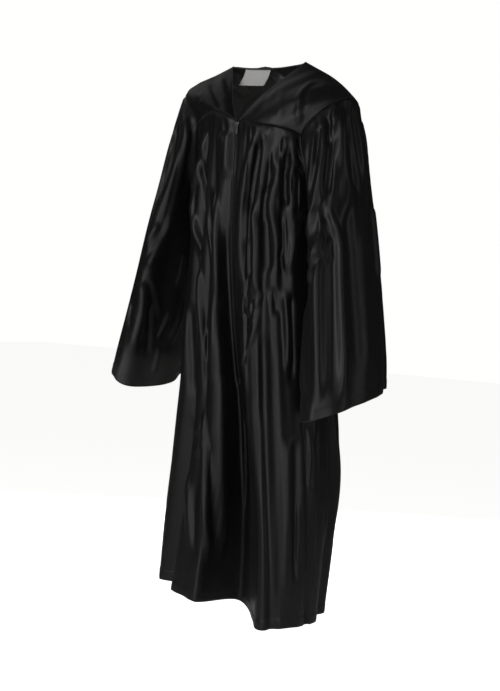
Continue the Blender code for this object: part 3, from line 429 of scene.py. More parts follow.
def drifted(folds, place, down, closed=False):
    """Where a line that starts at a place of the top edge runs, further down. Lines follow the folds."""
    tops = np.array(column(folds, FOLD_COLUMNS, "top"))
    drifts = []
    for row in folds:
        top, middle, hem = row[:3]
        drifts.append(through((0.0, 0.5, 1.0), (0.0, middle - top, hem - top), down))
    if closed:
        tops = np.concatenate([tops[-2:] - 1, tops, tops[:2] + 1])
        drifts = [*drifts[-2:], *drifts, *drifts[:2]]
    else:
        tops = np.concatenate([[0.0], tops, [1.0]])
        drifts = [0 * down, *drifts, 0 * down]
    moved = 0.0 * (place + down)
    for near_this, drift in zip(np.eye(len(tops)), drifts):
        moved = moved + through(tops, near_this, place) * drift
    return place + moved


def fold_depth(folds, place, down, closed=False):
    """How far the cloth lies inside its plain form, on the line from a place of the top edge."""
    tops = column(folds, FOLD_COLUMNS, "top")
    count = len(tops)
    depth = 0.0 * (place + down)
    for k, row in enumerate(folds):
        after = tops[(k + 1) % count] + (k + 1 == count) if closed else ([*tops, 1.0])[k + 1]
        before = tops[k - 1] - (k == 0) if closed else ([0.0, *tops])[k]
        away = place - row[0]
        if closed:
            away = (away + 0.5) % 1.0 - 0.5
        gap = np.where(away >= 0, after - row[0], row[0] - before)
        deep = through(FOLD_DEPTHS_AT, (0.0, *row[3:7]), down)
        depth = depth + deep * hump(away / (gap * row[-1]))
    return depth


def panel_top(name, place):
    """The sewn top edge of a panel."""
    corner = CORNER[name]
    place = np.asarray(place, float)
    if name == "back":
        rise = (BACK_CORNER - UNDERARM) / corner
        left = armhole("left", UNDERARM + np.clip(place, 0, corner) * rise)
        right = armhole("right", UNDERARM + np.clip(1 - place, 0, corner) * rise)
        seam = back_seam(np.clip((place - corner) / (1 - 2 * corner), 0, 1))
        first = np.where((place < corner)[..., None], left, seam)
        return np.where((place > 1 - corner)[..., None], right, first)
    seam = yoke_seam(name, np.clip(place / corner, 0, 1))
    drop = (UNDERARM - FRONT_CORNER) / (1 - corner)
    arm = armhole(name, FRONT_CORNER + (np.clip(place, corner, 1) - corner) * drop)
    return np.where((place > corner)[..., None], arm, seam)


def arm_tuck(name, place, below):
    """How far a panel falls inwards at a distance below its armhole seam."""
    corner = CORNER[name]
    from_corner = corner - np.minimum(place, 1 - place) if name == "back" else place - corner
    return ARM_TUCK * ease(1 + from_corner / ARM_TUCK_FADE) * ease(below / ARM_TUCK_HEIGHT)


def panel_point(name, place, down):
    """A point of a panel's middle surface, on the line from a place of its top edge."""
    place, down = np.asarray(place, float), np.asarray(down, float)
    top = panel_top(name, place)
    share = drifted(FOLDS[name], place, down)
    low = -ROBE_LENGTH + through(*zip(*HEM_RISE[name]), share)
    z = top[..., 2] + down * (low - top[..., 2])
    plain = plain_point(name, share, z, down)
    shift = top - plain_point(name, place, top[..., 2], 0 * down)
    settle = 1 - ease((top[..., 2] - z) / PANEL_SETTLES)
    inward = plain * (-1, -1, 0)
    inward = inward / np.linalg.norm(inward, axis=-1, keepdims=True)
    depth = fold_depth(FOLDS[name], place, down) + arm_tuck(name, place, top[..., 2] - z)
    return plain + shift * settle[..., None] + inward * depth[..., None]


def sleeve_point(side, place, down):
    """A point of a sleeve's middle surface, on the line from a place of the armhole."""
    place, down = np.asarray(place, float), np.asarray(down, float)

    def ring_point(down, angle):
        ring = read_table(SLEEVE_RINGS, RING_COLUMNS, down)
        out, forward = np.cos(angle), np.sin(angle)
        outer = ring["outer_x"] - (ring["right_in"] if side == "right" else 0.0)
        x = (outer + ring["inner_x"] + out * (outer - ring["inner_x"])) / 2
        y = (ring["front_y"] + ring["back_y"] - forward * (ring["back_y"] - ring["front_y"])) / 2
        z = (ring["outer_z"] + ring["inner_z"] + out * (ring["outer_z"] - ring["inner_z"])) / 2
        z = z - forward * ring["front_drop"]
        if side == "right":
            z = z + ring["right_lift"] * (0.7 + 0.3 * out) + RIGHT_CUFF_LIFT * ease(down) * (1 + forward)
        return np.stack([SIDES[side] * x, y, z], axis=-1)

    start = 2 * math.pi * place
    angle = 2 * math.pi * drifted(SLEEVE_FOLDS[side], place, down, closed=True)
    plain = ring_point(down, angle)
    shift = armhole(side, place) - ring_point(0 * down, start)
    plain = plain + shift * (1 - ease(down / SLEEVE_SETTLES))[..., None]
    inward = np.stack([-SIDES[side] * np.cos(angle), np.sin(angle), 0 * angle], axis=-1)
    return plain + inward * fold_depth(SLEEVE_FOLDS[side], place, down, closed=True)[..., None]


# Satin as it shows: a thin shell on the form of its panel
SATIN_THICK = 0.0007
SEE_THROUGH = 0.16  # share of the light that each face of the satin lets through
PANEL_GRID = (150, 150)  # lines across and rows down a panel
SLEEVE_GRID = (150, 120)
YOKE_GRID = (90, 60)
SEAM_GROOVE = 0.0012  # how far the cloth dips where two pieces are sewn together
SEAM_GROOVE_WIDTH = 0.006
HEM_BAND = 0.022  # how deep the hems are turned up inside
HEM_STEP = 0.0007
HEM_STEP_WIDTH = 0.0015
HEM_EDGE_WIDTH = 0.004
SLEEVE_LENGTH = 0.65
PANEL_GATHERS = (10, 0.0024, 0.045)  # how many there are, how high, and how far down they reach
SLEEVE_GATHERS = (24, 0.0028, 0.06)
GATHERS_FADE = 0.04  # share of a panel in which its gathers die out at the armhole's corner
GATHERED_CAP = (0.30, 0.05)  # share of an armhole that is gathered, each way, and its fade
EDGE_FADES = (0.025, 0.03)  # shares of a panel in which gathers and creases die out at its edges
YOKE_FADES = (0.06, 0.08)  # the same for a yoke, at its ends and at its seams
CREASE_ENDS = (0.18, 0.22)  # shares of a crease in which it starts and dies out
WAVES = 0.0013  # height of the soft waves in panels and sleeves
WAVES_START = 0.05  # how far below a seam they have their full height
YOKE_WAVES = 0.0012


def unit(vectors):
    return vectors / np.maximum(np.linalg.norm(vectors, axis=-1, keepdims=True), 1e-12)


def grid_normals(points, closed):
    """Normals of a surface given in rows and columns."""
    across = np.gradient(points, axis=1)
    if closed:
        across = (np.roll(points, -1, axis=1) - np.roll(points, 1, axis=1)) / 2
    down = np.gradient(points, axis=0)
    return unit(np.cross(down, across))


def soft_noise(seed, place, down, across_scale, down_scale, closed=False):
    """Smooth uneven values between -1 and 1 over a piece, the same on every run."""
    rng = np.random.default_rng(seed)
    total = 0.0 * place
    for _ in range(7):
        turns = rng.uniform(0.5, 1.5) * across_scale
        turns = max(1, round(turns)) if closed else turns
        lean = rng.uniform(-1.0, 1.0) * down_scale
        phase = turns * place + lean * down + rng.uniform()
        total = total + np.sin(2 * math.pi * phase) * rng.uniform(0.5, 1.0)
    return total / 3.2


def gathers(seed, place, below, count, height, reach, closed=False):
    """Small uneven pleats under a gathered seam. height and reach are in metres."""
    rng = np.random.default_rng(seed)
    centres = (np.arange(count) + rng.uniform(-0.35, 0.35, count)) / count
    rise = np.zeros_like(place)
    for centre in centres:
        width = rng.uniform(0.55, 1.2) / count
        length = reach * rng.uniform(0.35, 1.3)
        tall = height * rng.uniform(0.4, 1.2)
        lean = rng.uniform(-0.012, 0.012)
        away = place - centre - lean * below / reach
        if closed:
            away = (away + 0.5) % 1.0 - 0.5
        fades = ease(below / 0.010) * (1 - ease(below / length))
        rise = rise + tall * hump(away / width) * fades
    return rise


def crease_rise(points, surface, creases):
    """How far a list of creases lifts each point of a piece."""
    flat = points.reshape(-1, 3)
    total = np.zeros(len(flat))
    for width, rise, *path in creases:
        width, rise, path = width / 1000, rise / 1000, np.array(path) / 1000
        steps = np.linspace(0, 1, 10 * (len(path) - 1) + 1)
        marks = np.linspace(0, 1, len(path))
        line = surface(through(marks, path[:, 0], steps), through(marks, path[:, 1], steps))
        low, high = line.min(0) - width, line.max(0) + width
        near = np.flatnonzero(((flat > low) & (flat < high)).all(1))
        if not len(near):
            continue
        best = np.full(len(near), np.inf)
        along = np.zeros(len(near))
        for k in range(len(line) - 1):
            a, b = line[k], line[k + 1]
            ab = b - a
            t = np.clip(((flat[near] - a) @ ab) / max(ab @ ab, 1e-12), 0, 1)
            d = np.linalg.norm(flat[near] - a - t[:, None] * ab, axis=1)
            closer = d < best
            best = np.where(closer, d, best)
            along = np.where(closer, (k + t) / (len(line) - 1), along)
        ends = ease(along / CREASE_ENDS[0]) * ease((1 - along) / CREASE_ENDS[1])
        t = np.clip(best / width, 0, 1)
        total[near] += rise * ends * (1 - t) ** 2 * (1 + 2 * t)
    return total.reshape(points.shape[:2])


def put_in_scene(name, data):
    made = bpy.data.objects.new(name, data)
    bpy.context.scene.collection.objects.link(made)
    return made


def cloth_shell(name, points, normals, closed=False, thick=SATIN_THICK):
    """A closed thin wall round a surface in rows and columns, smooth and facing out."""
    rows, columns = points.shape[:2]
    outer = points + normals * thick / 2
    inner = points - normals * thick / 2
    count = rows * columns
    index = np.arange(count).reshape(rows, columns)
    right = np.roll(index, -1, axis=1) if closed else index[:, 1:]
    left = index if closed else index[:, :-1]
    quads = np.stack([left[:-1], left[1:], right[1:], right[:-1]], axis=-1).reshape(-1, 4)
    if closed:
        borders = [np.append(index[0], index[0][0]), np.append(index[-1], index[-1][0])[::-1]]
    else:
        borders = [np.concatenate([index[0], index[1:, -1], index[-1, -2::-1], index[-2::-1, 0]])]
    rims = []
    for border in borders:
        a, b = border[:-1], border[1:]
        rims.append(np.stack([a, b, b + count, a + count], axis=-1))
    faces = np.concatenate([quads, quads[:, ::-1] + count, *rims])
    vertices = np.concatenate([outer.reshape(-1, 3), inner.reshape(-1, 3)])
    mesh = bpy.data.meshes.new(name)
    mesh.from_pydata(vertices.tolist(), [], faces.tolist())
    if signed_volume(vertices, faces) < 0:
        mesh.flip_normals()
    mesh.shade_smooth()
    return put_in_scene(name, mesh)


def signed_volume(vertices, faces):
    a, b, c, d = (vertices[faces[:, k]] for k in range(4))
    return (np.einsum("ij,ij->i", a, np.cross(b, c)) + np.einsum("ij,ij->i", a, np.cross(c, d))).sum() / 6


# Creases of each piece: half width and rise in millimetres, then the points of its path, each
# with its place across the piece and its share down it, in thousandths. A rise below 0 is a
# trough.
CREASES = {
    "front_panel_left": (
        (17, 7.28, (295, 2), (214, 46), (160, 88), (114, 138), (104, 182)),
        (15.1, 6.24, (307, 6), (347, 54), (353, 104), (371, 158)),
        (15, -10, (262, 30), (261, 90), (236, 190)),
        (17, 7.28, (381, 12), (465, 70), (505, 96), (479, 130), (471, 158), (523, 222), (555, 301)),
        (17, -7.28, (405, 118), (409, 156), (409, 202)),
        (13.2, 6.24, (547, 10), (541, 58), (521, 90)),
        (15.1, 6.24, (607, 4), (645, 52), (747, 60)),
        (14, -11, (560, 36), (580, 100), (600, 160)),
        (6.9, 3.75, (577, 80), (619, 98), (611, 136)),
        (18.9, 6.24, (713, 72), (745, 100), (707, 154)),
        (21.75, 9.36, (150, 130), (120, 200), (85, 300), (70, 420), (70, 550), (90, 680)),
        (17, -7.28, (244, 224), (255, 277), (283, 311)),
        (15.1, 6.24, (271, 150), (329, 230), (331, 299), (365, 341)),
        (18.9, -7.28, (427, 176), (451, 236), (461, 295)),
        (5.75, 3.75, (206, 365), (257, 343), (333, 319)),
        (4.6, 3, (240, 379), (305, 369), (367, 361)),
        (5.75, 3.75, (339, 361), (375, 349), (425, 337)),
        (5.75, -3.75, (236, 345), (220, 367), (232, 389)),
        (5.75, -3, (303, 351), (319, 373), (281, 399)),
        (5.75, 3, (269, 411), (319, 385), (367, 367)),
        (9, -6, (553, 242), (579, 265), (587, 287)),
        (15.1, 6.24, (731, 132), (673, 214), (605, 295)),
        (6.9, 3.75, (597, 162), (607, 228), (597, 289)),
        (14.5, 7.28, (599, 309), (615, 375), (621, 443), (615, 483)),
        (17, -7.28, (489, 319), (521, 343), (533, 375)),
        (14.5, -8.32, (645, 317), (653, 397), (629, 519)),
        (11.6, 5.2, (60, 525), (222, 469), (319, 425), (367, 373)),
        (23.2, -4.16, (417, 407), (433, 505), (391, 605)),
        (29, 4.16, (533, 403), (547, 501), (537, 621), (509, 782)),
        (32.6, -3.12, (248, 513), (38, 653), (60, 820)),
        (25.4, 8.32, (605, 601), (593, 703), (543, 862), (535, 962)),
        (18.1, -12.5, (635, 599), (617, 741), (611, 946)),
        (4.6, 3.75, (637, 739), (633, 822), (623, 900)),
        (4.6, 3.75, (756, 577), (743, 653), (713, 729)),
        (25.4, 8.32, (834, 577), (886, 717), (950, 942)),
        (4.6, 2.25, (629, 723), (725, 711), (826, 691)),
        (4.6, 2.25, (621, 900), (651, 892), (766, 884)),
        (21.7, -7.28, (960, 539), (965, 703), (970, 916)),
    ),
    "front_panel_right": (
        (14.5, 9.36, (381, 20), (479, 54), (543, 132), (601, 166), (481, 265), (377, 351),
         (353, 401), (303, 473), (295, 555), (277, 629)),
        (11.6, -6.24, (537, 62), (463, 138), (363, 246)),
        (26.1, 7.28, (174, 34), (130, 76), (92, 130)),
        (5.75, 3, (365, 196), (202, 353), (265, 471), (218, 551)),
        (15, 9, (291, 146), (188, 240), (140, 300), (112, 400)),
        (23, 16, (120, 360), (114, 503), (112, 625), (106, 747), (98, 860), (92, 960)),
        (14, -8, (60, 200), (36, 370), (40, 580), (46, 830)),
        (17.4, 5.2, (575, 383), (541, 477), (551, 597)),
        (14.5, -6.24, (501, 393), (485, 499), (481, 605)),
        (13.05, 8.32, (273, 599), (224, 681), (180, 754), (134, 854), (110, 952)),
        (11.6, -6.24, (148, 649), (124, 770), (106, 914)),
        (5.75, 3, (483, 685), (353, 665), (279, 649)),
        (5.75, 3, (349, 715), (287, 697), (200, 683)),
        (6.9, 3, (126, 884), (114, 864), (98, 854)),
        (16, 4.5, (491, 609), (377, 770), (196, 944)),
        (16, -3, (291, 741), (255, 844), (144, 936)),
    ),
    "sleeve_left": (
        (12, 7, (760, 30), (735, 130), (765, 260), (750, 420)),
        (10, 6, (820, 20), (845, 110), (815, 230)),
        (9, -6, (790, 50), (792, 160), (770, 300)),
        (13, 8, (880, 10), (868, 120), (890, 290), (872, 460)),
        (11, 6, (655, 180), (690, 290), (664, 420)),
        (9, -5, (620, 260), (580, 340), (540, 400)),
        (14, 8, (800, 480), (786, 640), (802, 860)),
        (13, 7, (700, 520), (712, 690), (696, 920)),
        (15, -6, (870, 560), (858, 730), (874, 950)),
        (12, 6, (560, 500), (572, 680), (556, 880)),
        (11, -6, (480, 420), (500, 560), (484, 760)),
        (6.9, 3.75, (276, 42), (334, 188), (326, 265)),
        (6.9, 4.5, (236, 42), (268, 164), (320, 222)),
        (11.6, 7.28, (192, 42), (208, 176), (268, 287), (330, 375)),
        (6.9, -4.5, (212, 56), (246, 162)),
        (10.15, 6.24, (142, 8), (156, 80)),
        (10.15, -6.24, (170, 44), (186, 148)),
        (20.3, 8.32, (116, 28), (108, 176), (80, 305), (118, 399)),
        (13.05, -7.28, (152, 102), (162, 206), (184, 297)),
        (13.05, 6.24, (1028, 18), (998, 110), (970, 307)),
        (14.5, -7.28, (72, 64), (54, 182), (24, 341)),
        (15.95, 6.24, (252, 269), (294, 359), (328, 447)),
        (11.6, 8.32, (172, 309), (132, 439), (130, 555), (126, 731), (116, 962)),
        (14.5, 6.24, (166, 413), (172, 457), (156, 495)),
        (10.15, 6.24, (194, 379), (244, 441), (330, 505)),
        (13.05, -6.24, (204, 443), (248, 483), (274, 531)),
        (18, 10, (240, 350), (226, 520), (210, 720), (198, 968)),
        (17.4, 6.24, (320, 549), (320, 649), (310, 786), (272, 900)),
        (23, -9.5, (160, 370), (154, 520), (152, 720), (146, 995)),
        (31.9, -6.24, (64, 395), (66, 629), (68, 888)),
        (17.4, 7.28, (926, 329), (926, 453), (926, 609)),
        (10.15, -5.2, (210, 285), (196, 355)),
    ),
    "sleeve_right": (
        (12, 7, (770, 20), (790, 120), (762, 270), (775, 430)),
        (10, -6, (830, 30), (812, 150), (838, 280)),
        (13, 8, (890, 12), (905, 140), (884, 320), (900, 500)),
        (11, 6, (950, 20), (940, 160), (962, 340)),
        (11, 6, (660, 160), (640, 280), (670, 410)),
        (9, -5, (600, 300), (560, 380), (530, 450)),
        (14, 8, (720, 470), (735, 650), (716, 900)),
        (13, 7, (810, 520), (796, 700), (812, 930)),
        (15, -6, (910, 580), (926, 740), (908, 960)),
        (12, 6, (50, 300), (36, 480), (54, 720)),
        (14.5, 7.28, (166, 24), (330, 94), (360, 196), (346, 373)),
        (14.5, -6.24, (198, 94), (254, 194), (214, 337)),
        (13.05, 8.32, (356, 275), (332, 423), (276, 537)),
        (11.6, 5.2, (294, 347), (216, 481)),
        (11.6, -5.2, (352, 361), (336, 477)),
        (14.5, 5.2, (324, 537), (374, 603), (420, 681)),
        (18.85, 8.32, (266, 571), (312, 677), (300, 860)),
        (6.9, 5.25, (470, 377), (466, 473), (458, 551)),
        (6.9, 5.25, (452, 641), (436, 705), (420, 766)),
        (13.05, 7.28, (494, 585), (492, 687), (464, 784)),
        (6.9, 3.75, (438, 802), (438, 858), (438, 938)),
        (14.5, -6.24, (344, 621), (372, 731), (392, 860)),
        (11.6, -4.16, (208, 675), (250, 770)),
    ),
    "front_yoke_left": (
        (14, 3, (437, 228), (523, 483), (752, 756), (956, 936)),
        (12, -1.2, (563, 471), (796, 741), (988, 898)),
        (15, 1.4, (220, 533), (681, 958)),
        (15, -1.2, (16, 493), (234, 828)),
        (15, 1.2, (593, 275), (840, 337)),
    ),
    "front_yoke_right": (
        (13.05, 2.6, (627, 625), (567, 890), (409, 1000)),
        (13.05, -2.6, (395, 421), (313, 760), (291, 996)),
        (13.05, 2.08, (218, 208), (140, 553), (92, 772)),
        (10.15, 2.6, (609, 808), (842, 932)),
    ),
    "back_panel": (
        (12, 7, (200, 10), (215, 90), (190, 190), (185, 330)),
        (10, -6, (255, 12), (240, 80), (250, 160)),
        (13, 8, (300, 6), (330, 70), (318, 170), (345, 300), (338, 440)),
        (9, -7, (372, 20), (380, 90), (366, 200)),
        (11, 6, (420, 8), (402, 110), (412, 260)),
        (14, 8, (476, 10), (490, 70), (474, 150), (484, 290), (470, 420)),
        (10, -7, (520, 30), (528, 120), (516, 240)),
        (12, 7, (566, 6), (552, 80), (572, 190), (566, 350)),
        (9, -6, (612, 14), (630, 100), (610, 200)),
        (13, 8, (668, 8), (652, 90), (668, 220), (655, 380), (668, 520)),
        (10, 6, (728, 10), (742, 80), (726, 180)),
        (11, -6, (782, 16), (768, 110), (790, 260)),
        (11, 6, (160, 80), (122, 150), (70, 205)),
        (9, -5, (150, 140), (100, 215), (52, 255)),
        (12, 6, (848, 85), (884, 160), (934, 220)),
        (9, -5, (858, 150), (906, 225), (948, 260)),
        (7, 4, (280, 300), (330, 332), (392, 322)),
        (7, 4, (405, 360), (450, 382), (506, 366)),
        (7, 4, (590, 330), (640, 360), (700, 345)),
        (6, -4, (515, 402), (560, 424), (604, 404)),
        (15, 8, (210, 420), (196, 560), (216, 720), (200, 900)),
        (12, -7, (262, 470), (250, 640), (258, 860)),
        (16, 7, (330, 520), (342, 700), (330, 930)),
        (13, 6, (452, 480), (440, 650), (452, 820)),
        (16, 8, (560, 540), (574, 700), (562, 940)),
        (11, -7, (640, 600), (634, 740), (646, 900)),
        (15, 8, (742, 450), (760, 620), (748, 800), (766, 950)),
        (12, 6, (120, 520), (104, 680), (118, 860)),
        (13, 6, (868, 500), (884, 660), (872, 880)),
        (6, 4, (400, 700), (372, 730), (350, 750)),
        (6, 4, (690, 660), (712, 690), (744, 704)),
    ),
    "back_yoke": (
        (10, 3.5, (120, 300), (180, 600), (205, 900)),
        (9, -3, (240, 350), (275, 650), (290, 920)),
        (10, 3.5, (690, 300), (735, 600), (742, 900)),
        (9, -3, (860, 280), (812, 560), (796, 860)),
        (9, 3.5, (570, 120), (520, 480), (470, 900)),
        (8, -3, (610, 200), (572, 560), (540, 900)),
        (10, 2.5, (420, 350), (440, 620), (430, 900)),
    ),
}


def outward_normals(points, centre, closed=False):
    """Normals of a surface, turned so that they point away from a centre line."""
    normals = grid_normals(points, closed)
    return normals if ((points - centre) * normals).sum() > 0 else -normals


def lifted(points, normals, rise, centre, closed=False):
    """A surface moved out by its rise, and its new normals."""
    points = points + normals * rise[..., None]
    return points, outward_normals(points, centre, closed)


def seam_groove(away):
    """How deep the groove along a seam is, at a distance from the seam."""
    return SEAM_GROOVE * (1 - ease(away / SEAM_GROOVE_WIDTH))


def rows_down(count, length):
    """Shares down a piece, closer together along the seam and at the fold of the hem."""
    band = HEM_BAND / length
    upper = np.linspace(0, 1, count - 9) ** 1.15 * (1 - band - 0.003)
    fold = 1 - band + np.array([-0.0010, 0.0004, 0.0018]) * (1.05 / length)
    return np.concatenate([upper, fold, np.linspace(fold[-1], 1, 7)[1:]])


def read_grid(grid, across, row):
    """A grid of points, read at shares across it and at row numbers that needn't be whole."""
    last_row, last_column = grid.shape[0] - 2, grid.shape[1] - 2
    across = np.asarray(across, float) * (grid.shape[1] - 1)
    i = np.clip(np.asarray(row, float).astype(int), 0, last_row)
    j = np.clip(across.astype(int), 0, last_column)
    s, t = (row - i)[..., None], (across - j)[..., None]
    upper = (1 - t) * grid[i, j] + t * grid[i, j + 1]
    lower = (1 - t) * grid[i + 1, j] + t * grid[i + 1, j + 1]
    return (1 - s) * upper + s * lower


def up_from_hem(points):
    """How far above its hem each point of a piece lies, along the cloth."""
    to_hem = np.linalg.norm(np.diff(points, axis=0), axis=-1)[::-1].cumsum(axis=0)[::-1]
    return np.concatenate([to_hem, 0 * to_hem[:1]])


def hem_rise(points):
    """The hem is turned up inside, so its band stands out a little from the single cloth."""
    to_hem = up_from_hem(points)
    return HEM_STEP * ease((HEM_BAND - to_hem) / HEM_STEP_WIDTH) * ease(to_hem / HEM_EDGE_WIDTH)


def piece_name(name, kind):
    return f"back_{kind}" if name == "back" else f"front_{kind}_{name}"


def panel_form(name, seed):
    """A front or back panel, with its gathers, creases and hem."""
    columns, rows = PANEL_GRID
    place, down = np.meshgrid(np.linspace(0, 1, columns), rows_down(rows, FRONT_HEIGHT))
    points = panel_point(name, place, down)
    centre = np.array([0.0, 0.02, 0.0]) * np.ones_like(points)
    centre[..., 2] = points[..., 2]
    normals = outward_normals(points, centre)
    below = np.linalg.norm(points - points[:1], axis=-1)
    corner = CORNER[name]
    edges = ease(place / EDGE_FADES[0]) * ease((1 - place) / EDGE_FADES[1])
    sewn = ease((corner + GATHERS_FADE / 2 - place) / GATHERS_FADE)
    if name == "back":
        sewn = ease((place - corner) / GATHERS_FADE) * ease((1 - corner - place) / GATHERS_FADE)
    rise = gathers(seed, place, below, *PANEL_GATHERS) * sewn
    rise += WAVES * soft_noise(seed + 1, place, down, 5, 2.0) * ease(below / WAVES_START)
    rise += crease_rise(points, lambda a, b: panel_point(name, a, b), CREASES[piece_name(name, "panel")])
    rise = rise * edges + hem_rise(points) - seam_groove(below)
    return lifted(points, normals, rise, centre)


def sleeve_form(side, seed):
    """A bell sleeve, gathered into its armhole."""
    columns, rows = SLEEVE_GRID
    place, down = np.meshgrid(np.arange(columns) / columns, rows_down(rows, SLEEVE_LENGTH))
    points = sleeve_point(side, place, down)
    centre = points.mean(axis=1, keepdims=True) * np.ones_like(points)
    normals = outward_normals(points, centre, closed=True)
    below = np.linalg.norm(points - points[:1], axis=-1)
    reach, fade = GATHERED_CAP
    cap = ease((reach - np.minimum(place, 1 - place)) / fade)
    rise = gathers(seed, place, below, *SLEEVE_GATHERS, closed=True) * cap
    rise += WAVES * soft_noise(seed + 1, place, down, 5, 1.6, closed=True) * ease(below / WAVES_START)
    rise += crease_rise(points, lambda a, b: sleeve_point(side, a, b), CREASES[f"sleeve_{side}"])
    rise = rise + hem_rise(points) - seam_groove(below)
    return lifted(points, normals, rise, centre, closed=True)


def yoke_form(name, seed):
    """A yoke, with its creases and the grooves of its seams."""
    columns, rows = YOKE_GRID
    u, v = np.meshgrid(np.linspace(0, 1, columns), np.linspace(0, 1, rows))
    points = yoke_point(name, u, v)
    centre = np.array([0.0, 0.0, -0.20]) * np.ones_like(points)
    normals = outward_normals(points, centre)
    fade_u, fade_v = YOKE_FADES
    edges = ease(u / fade_u) * ease((1 - u) / fade_u) * ease(v / fade_v) * ease((1 - v) / fade_v)
    creases = crease_rise(points, lambda a, b: yoke_point(name, a, b), CREASES[piece_name(name, "yoke")])
    rise = YOKE_WAVES * soft_noise(seed, u, v, 3, 1.2) * edges + creases * edges
    rise -= 0.6 * seam_groove(np.linalg.norm(points - points[-1:], axis=-1))
    if name != "back":
        rise -= 0.5 * seam_groove(np.linalg.norm(points - points[:1], axis=-1))
    return lifted(points, normals, rise, centre)


# Zip, label, stitches and the edge of the neck

TAPE_THICK = 0.0006
TAPE_COLUMNS = 7  # lines of a front panel that a tape reaches behind
TAPE_GAP = 0.0002  # between a tape and the satin before it
TAPE_FROM_MIDDLE = 0.0004
TOOTH_PITCH = 0.0016
TOOTH_SIZE = (0.0021, 0.0009, 0.0012)
TOOTH_FROM_MIDDLE = 0.40  # how far out it sits from the zip's middle, as a share of its width
TOOTH_OUT = 0.0003
SLIDER_BELOW_V = 0.0145  # where the teeth start, below the tip of the V
LABEL_WIDTH = 0.064
LABEL_DROP = 0.040
LABEL_THICK = 0.0005
LABEL_GAP = 0.0003
LABEL_PLACE = 0.715  # share of the way round the back of the neck, from the left
LABEL_BELOW_NECK = 0.004
LABEL_DIP = 0.0015  # how far its top edge sags between its stitches
LABEL_SWING = (-0.009, -0.011)  # how far its lower edge hangs out of line, to the side and forwards
LABEL_GRID = (41, 27)
STITCH_PITCH = 0.0032
STITCH_LENGTH = 0.0024
THREAD_RADIUS = 0.00017
STITCHES_FROM_FOLD = 0.002  # between the hem's stitches and the upper edge of its band
NECK_EDGE_RADIUS = 0.0010
NECK_EDGE_RINGS = 260
NECK_EDGE_THICKER = 0.8  # share by which it is thicker at the back
NECK_EDGE_SIDES = 8
TOOTH_ROUNDING = 0.00022


def lengths_along(line):
    steps = np.linalg.norm(np.diff(line, axis=0), axis=1)
    return np.concatenate([[0.0], np.cumsum(steps)])


def at_lengths(places, along, line):
    """A line's points, or the directions that it holds, at lengths from its start."""
    return np.stack([np.interp(places, along, line[:, k]) for k in range(3)], axis=-1)


def rows_by_zip():
    return int(np.searchsorted(rows_down(PANEL_GRID[1], FRONT_HEIGHT), ZIP_END))


def zip_line(forms):
    """The line on which the zip's teeth meet, and the way out from it."""
    count = rows_by_zip()
    (left, left_out), (right, right_out) = forms["front_panel_left"], forms["front_panel_right"]
    middle = (left[:count, 0] + right[:count, 0]) / 2
    across = unit(left[:count, 0] - right[:count, 0])
    outward = unit(left_out[:count, 3] + right_out[:count, 3])
    return middle, across, outward


def tape_form(side, forms):
    """A zip tape, from the teeth to behind the front edge of its panel."""
    middle, across, _ = zip_line(forms)
    count = len(middle)
    points, normals = (grid[:count, :TAPE_COLUMNS] for grid in forms[f"front_panel_{side}"])
    inner = middle + across * SIDES[side] * TAPE_FROM_MIDDLE
    points = np.concatenate([inner[:, None], points], axis=1)
    normals = np.concatenate([normals[:, :1], normals], axis=1)
    return points - normals * (SATIN_THICK + TAPE_THICK + 2 * TAPE_GAP) / 2, normals


def label_form(forms):
    """The label's points, sewn on along its top edge inside the back yoke, facing into the neck."""
    points, normals = forms["back_yoke"]
    low, high = BACK_YOKE_NECK
    centre = low + (high - low) * LABEL_PLACE
    tries = np.linspace(0, 1, 301)
    numbers = tries * (points.shape[0] - 1)
    fall = lengths_along(read_grid(points, centre + 0 * tries, numbers))
    row = np.interp(LABEL_BELOW_NECK, fall, numbers)
    along = lengths_along(read_grid(points, tries, row + 0 * tries))
    reach = np.interp(centre, tries, along) + LABEL_WIDTH * np.linspace(-0.5, 0.5, LABEL_GRID[0])
    across = np.interp(reach, along, tries)
    inward = -unit(read_grid(normals, across, row + 0 * across))
    top = read_grid(points, across, row + 0 * across)
    top += inward * ((SATIN_THICK + LABEL_THICK) / 2 + LABEL_GAP)
    top[:, 2] -= LABEL_DIP
    forward = unit(np.cross((0.0, 0.0, 1.0), np.gradient(top, axis=0)))
    down = np.linspace(0, 1, LABEL_GRID[1])[:, None]
    swing = down**1.5 * LABEL_SWING
    drop = np.sqrt((LABEL_DROP * down) ** 2 - (swing**2).sum(axis=1, keepdims=True))
    spots = top + np.concatenate([swing, -drop], axis=1)[:, None]
    return spots, np.broadcast_to(forward, spots.shape)


def spaced(line, outward, pitch, start=0.0):
    """Spots a pitch apart along a line, with the way along it and the way out at each."""
    along = lengths_along(line)
    places = np.arange(start + pitch / 2, along[-1], pitch)
    ahead = at_lengths(places + pitch / 2, along, line)
    behind = at_lengths(places - pitch / 2, along, line)
    return at_lengths(places, along, line), unit(ahead - behind), unit(at_lengths(places, along, outward))


def hem_line(points, normals, up):
    """The line on a piece at a distance up from its hem, on the outside of the cloth."""
    to_hem = up_from_hem(points)
    rows = np.arange(len(points))[::-1]
    found = np.array([np.interp(up, to_hem[::-1, k], rows) for k in range(points.shape[1])])
    across = np.arange(points.shape[1]) / (points.shape[1] - 1)
    outward = read_grid(normals, across, found)
    return read_grid(points, across, found) + outward * SATIN_THICK / 2, outward


def add_node(tree, kind, inputs=None, **settings):
    """A new node of a tree, with its settings and the values of its unlinked inputs."""
    made = tree.nodes.new(kind)
    for label, value in settings.items():
        setattr(made, label, value)
    for label, value in (inputs or {}).items():
        made.inputs[label].default_value = value
    return made


def join(tree, *wires):
    """Links of a tree, each from a node's output to another node's input."""
    for source, output, target, entry in wires:
        tree.links.new(source.outputs[output], target.inputs[entry])


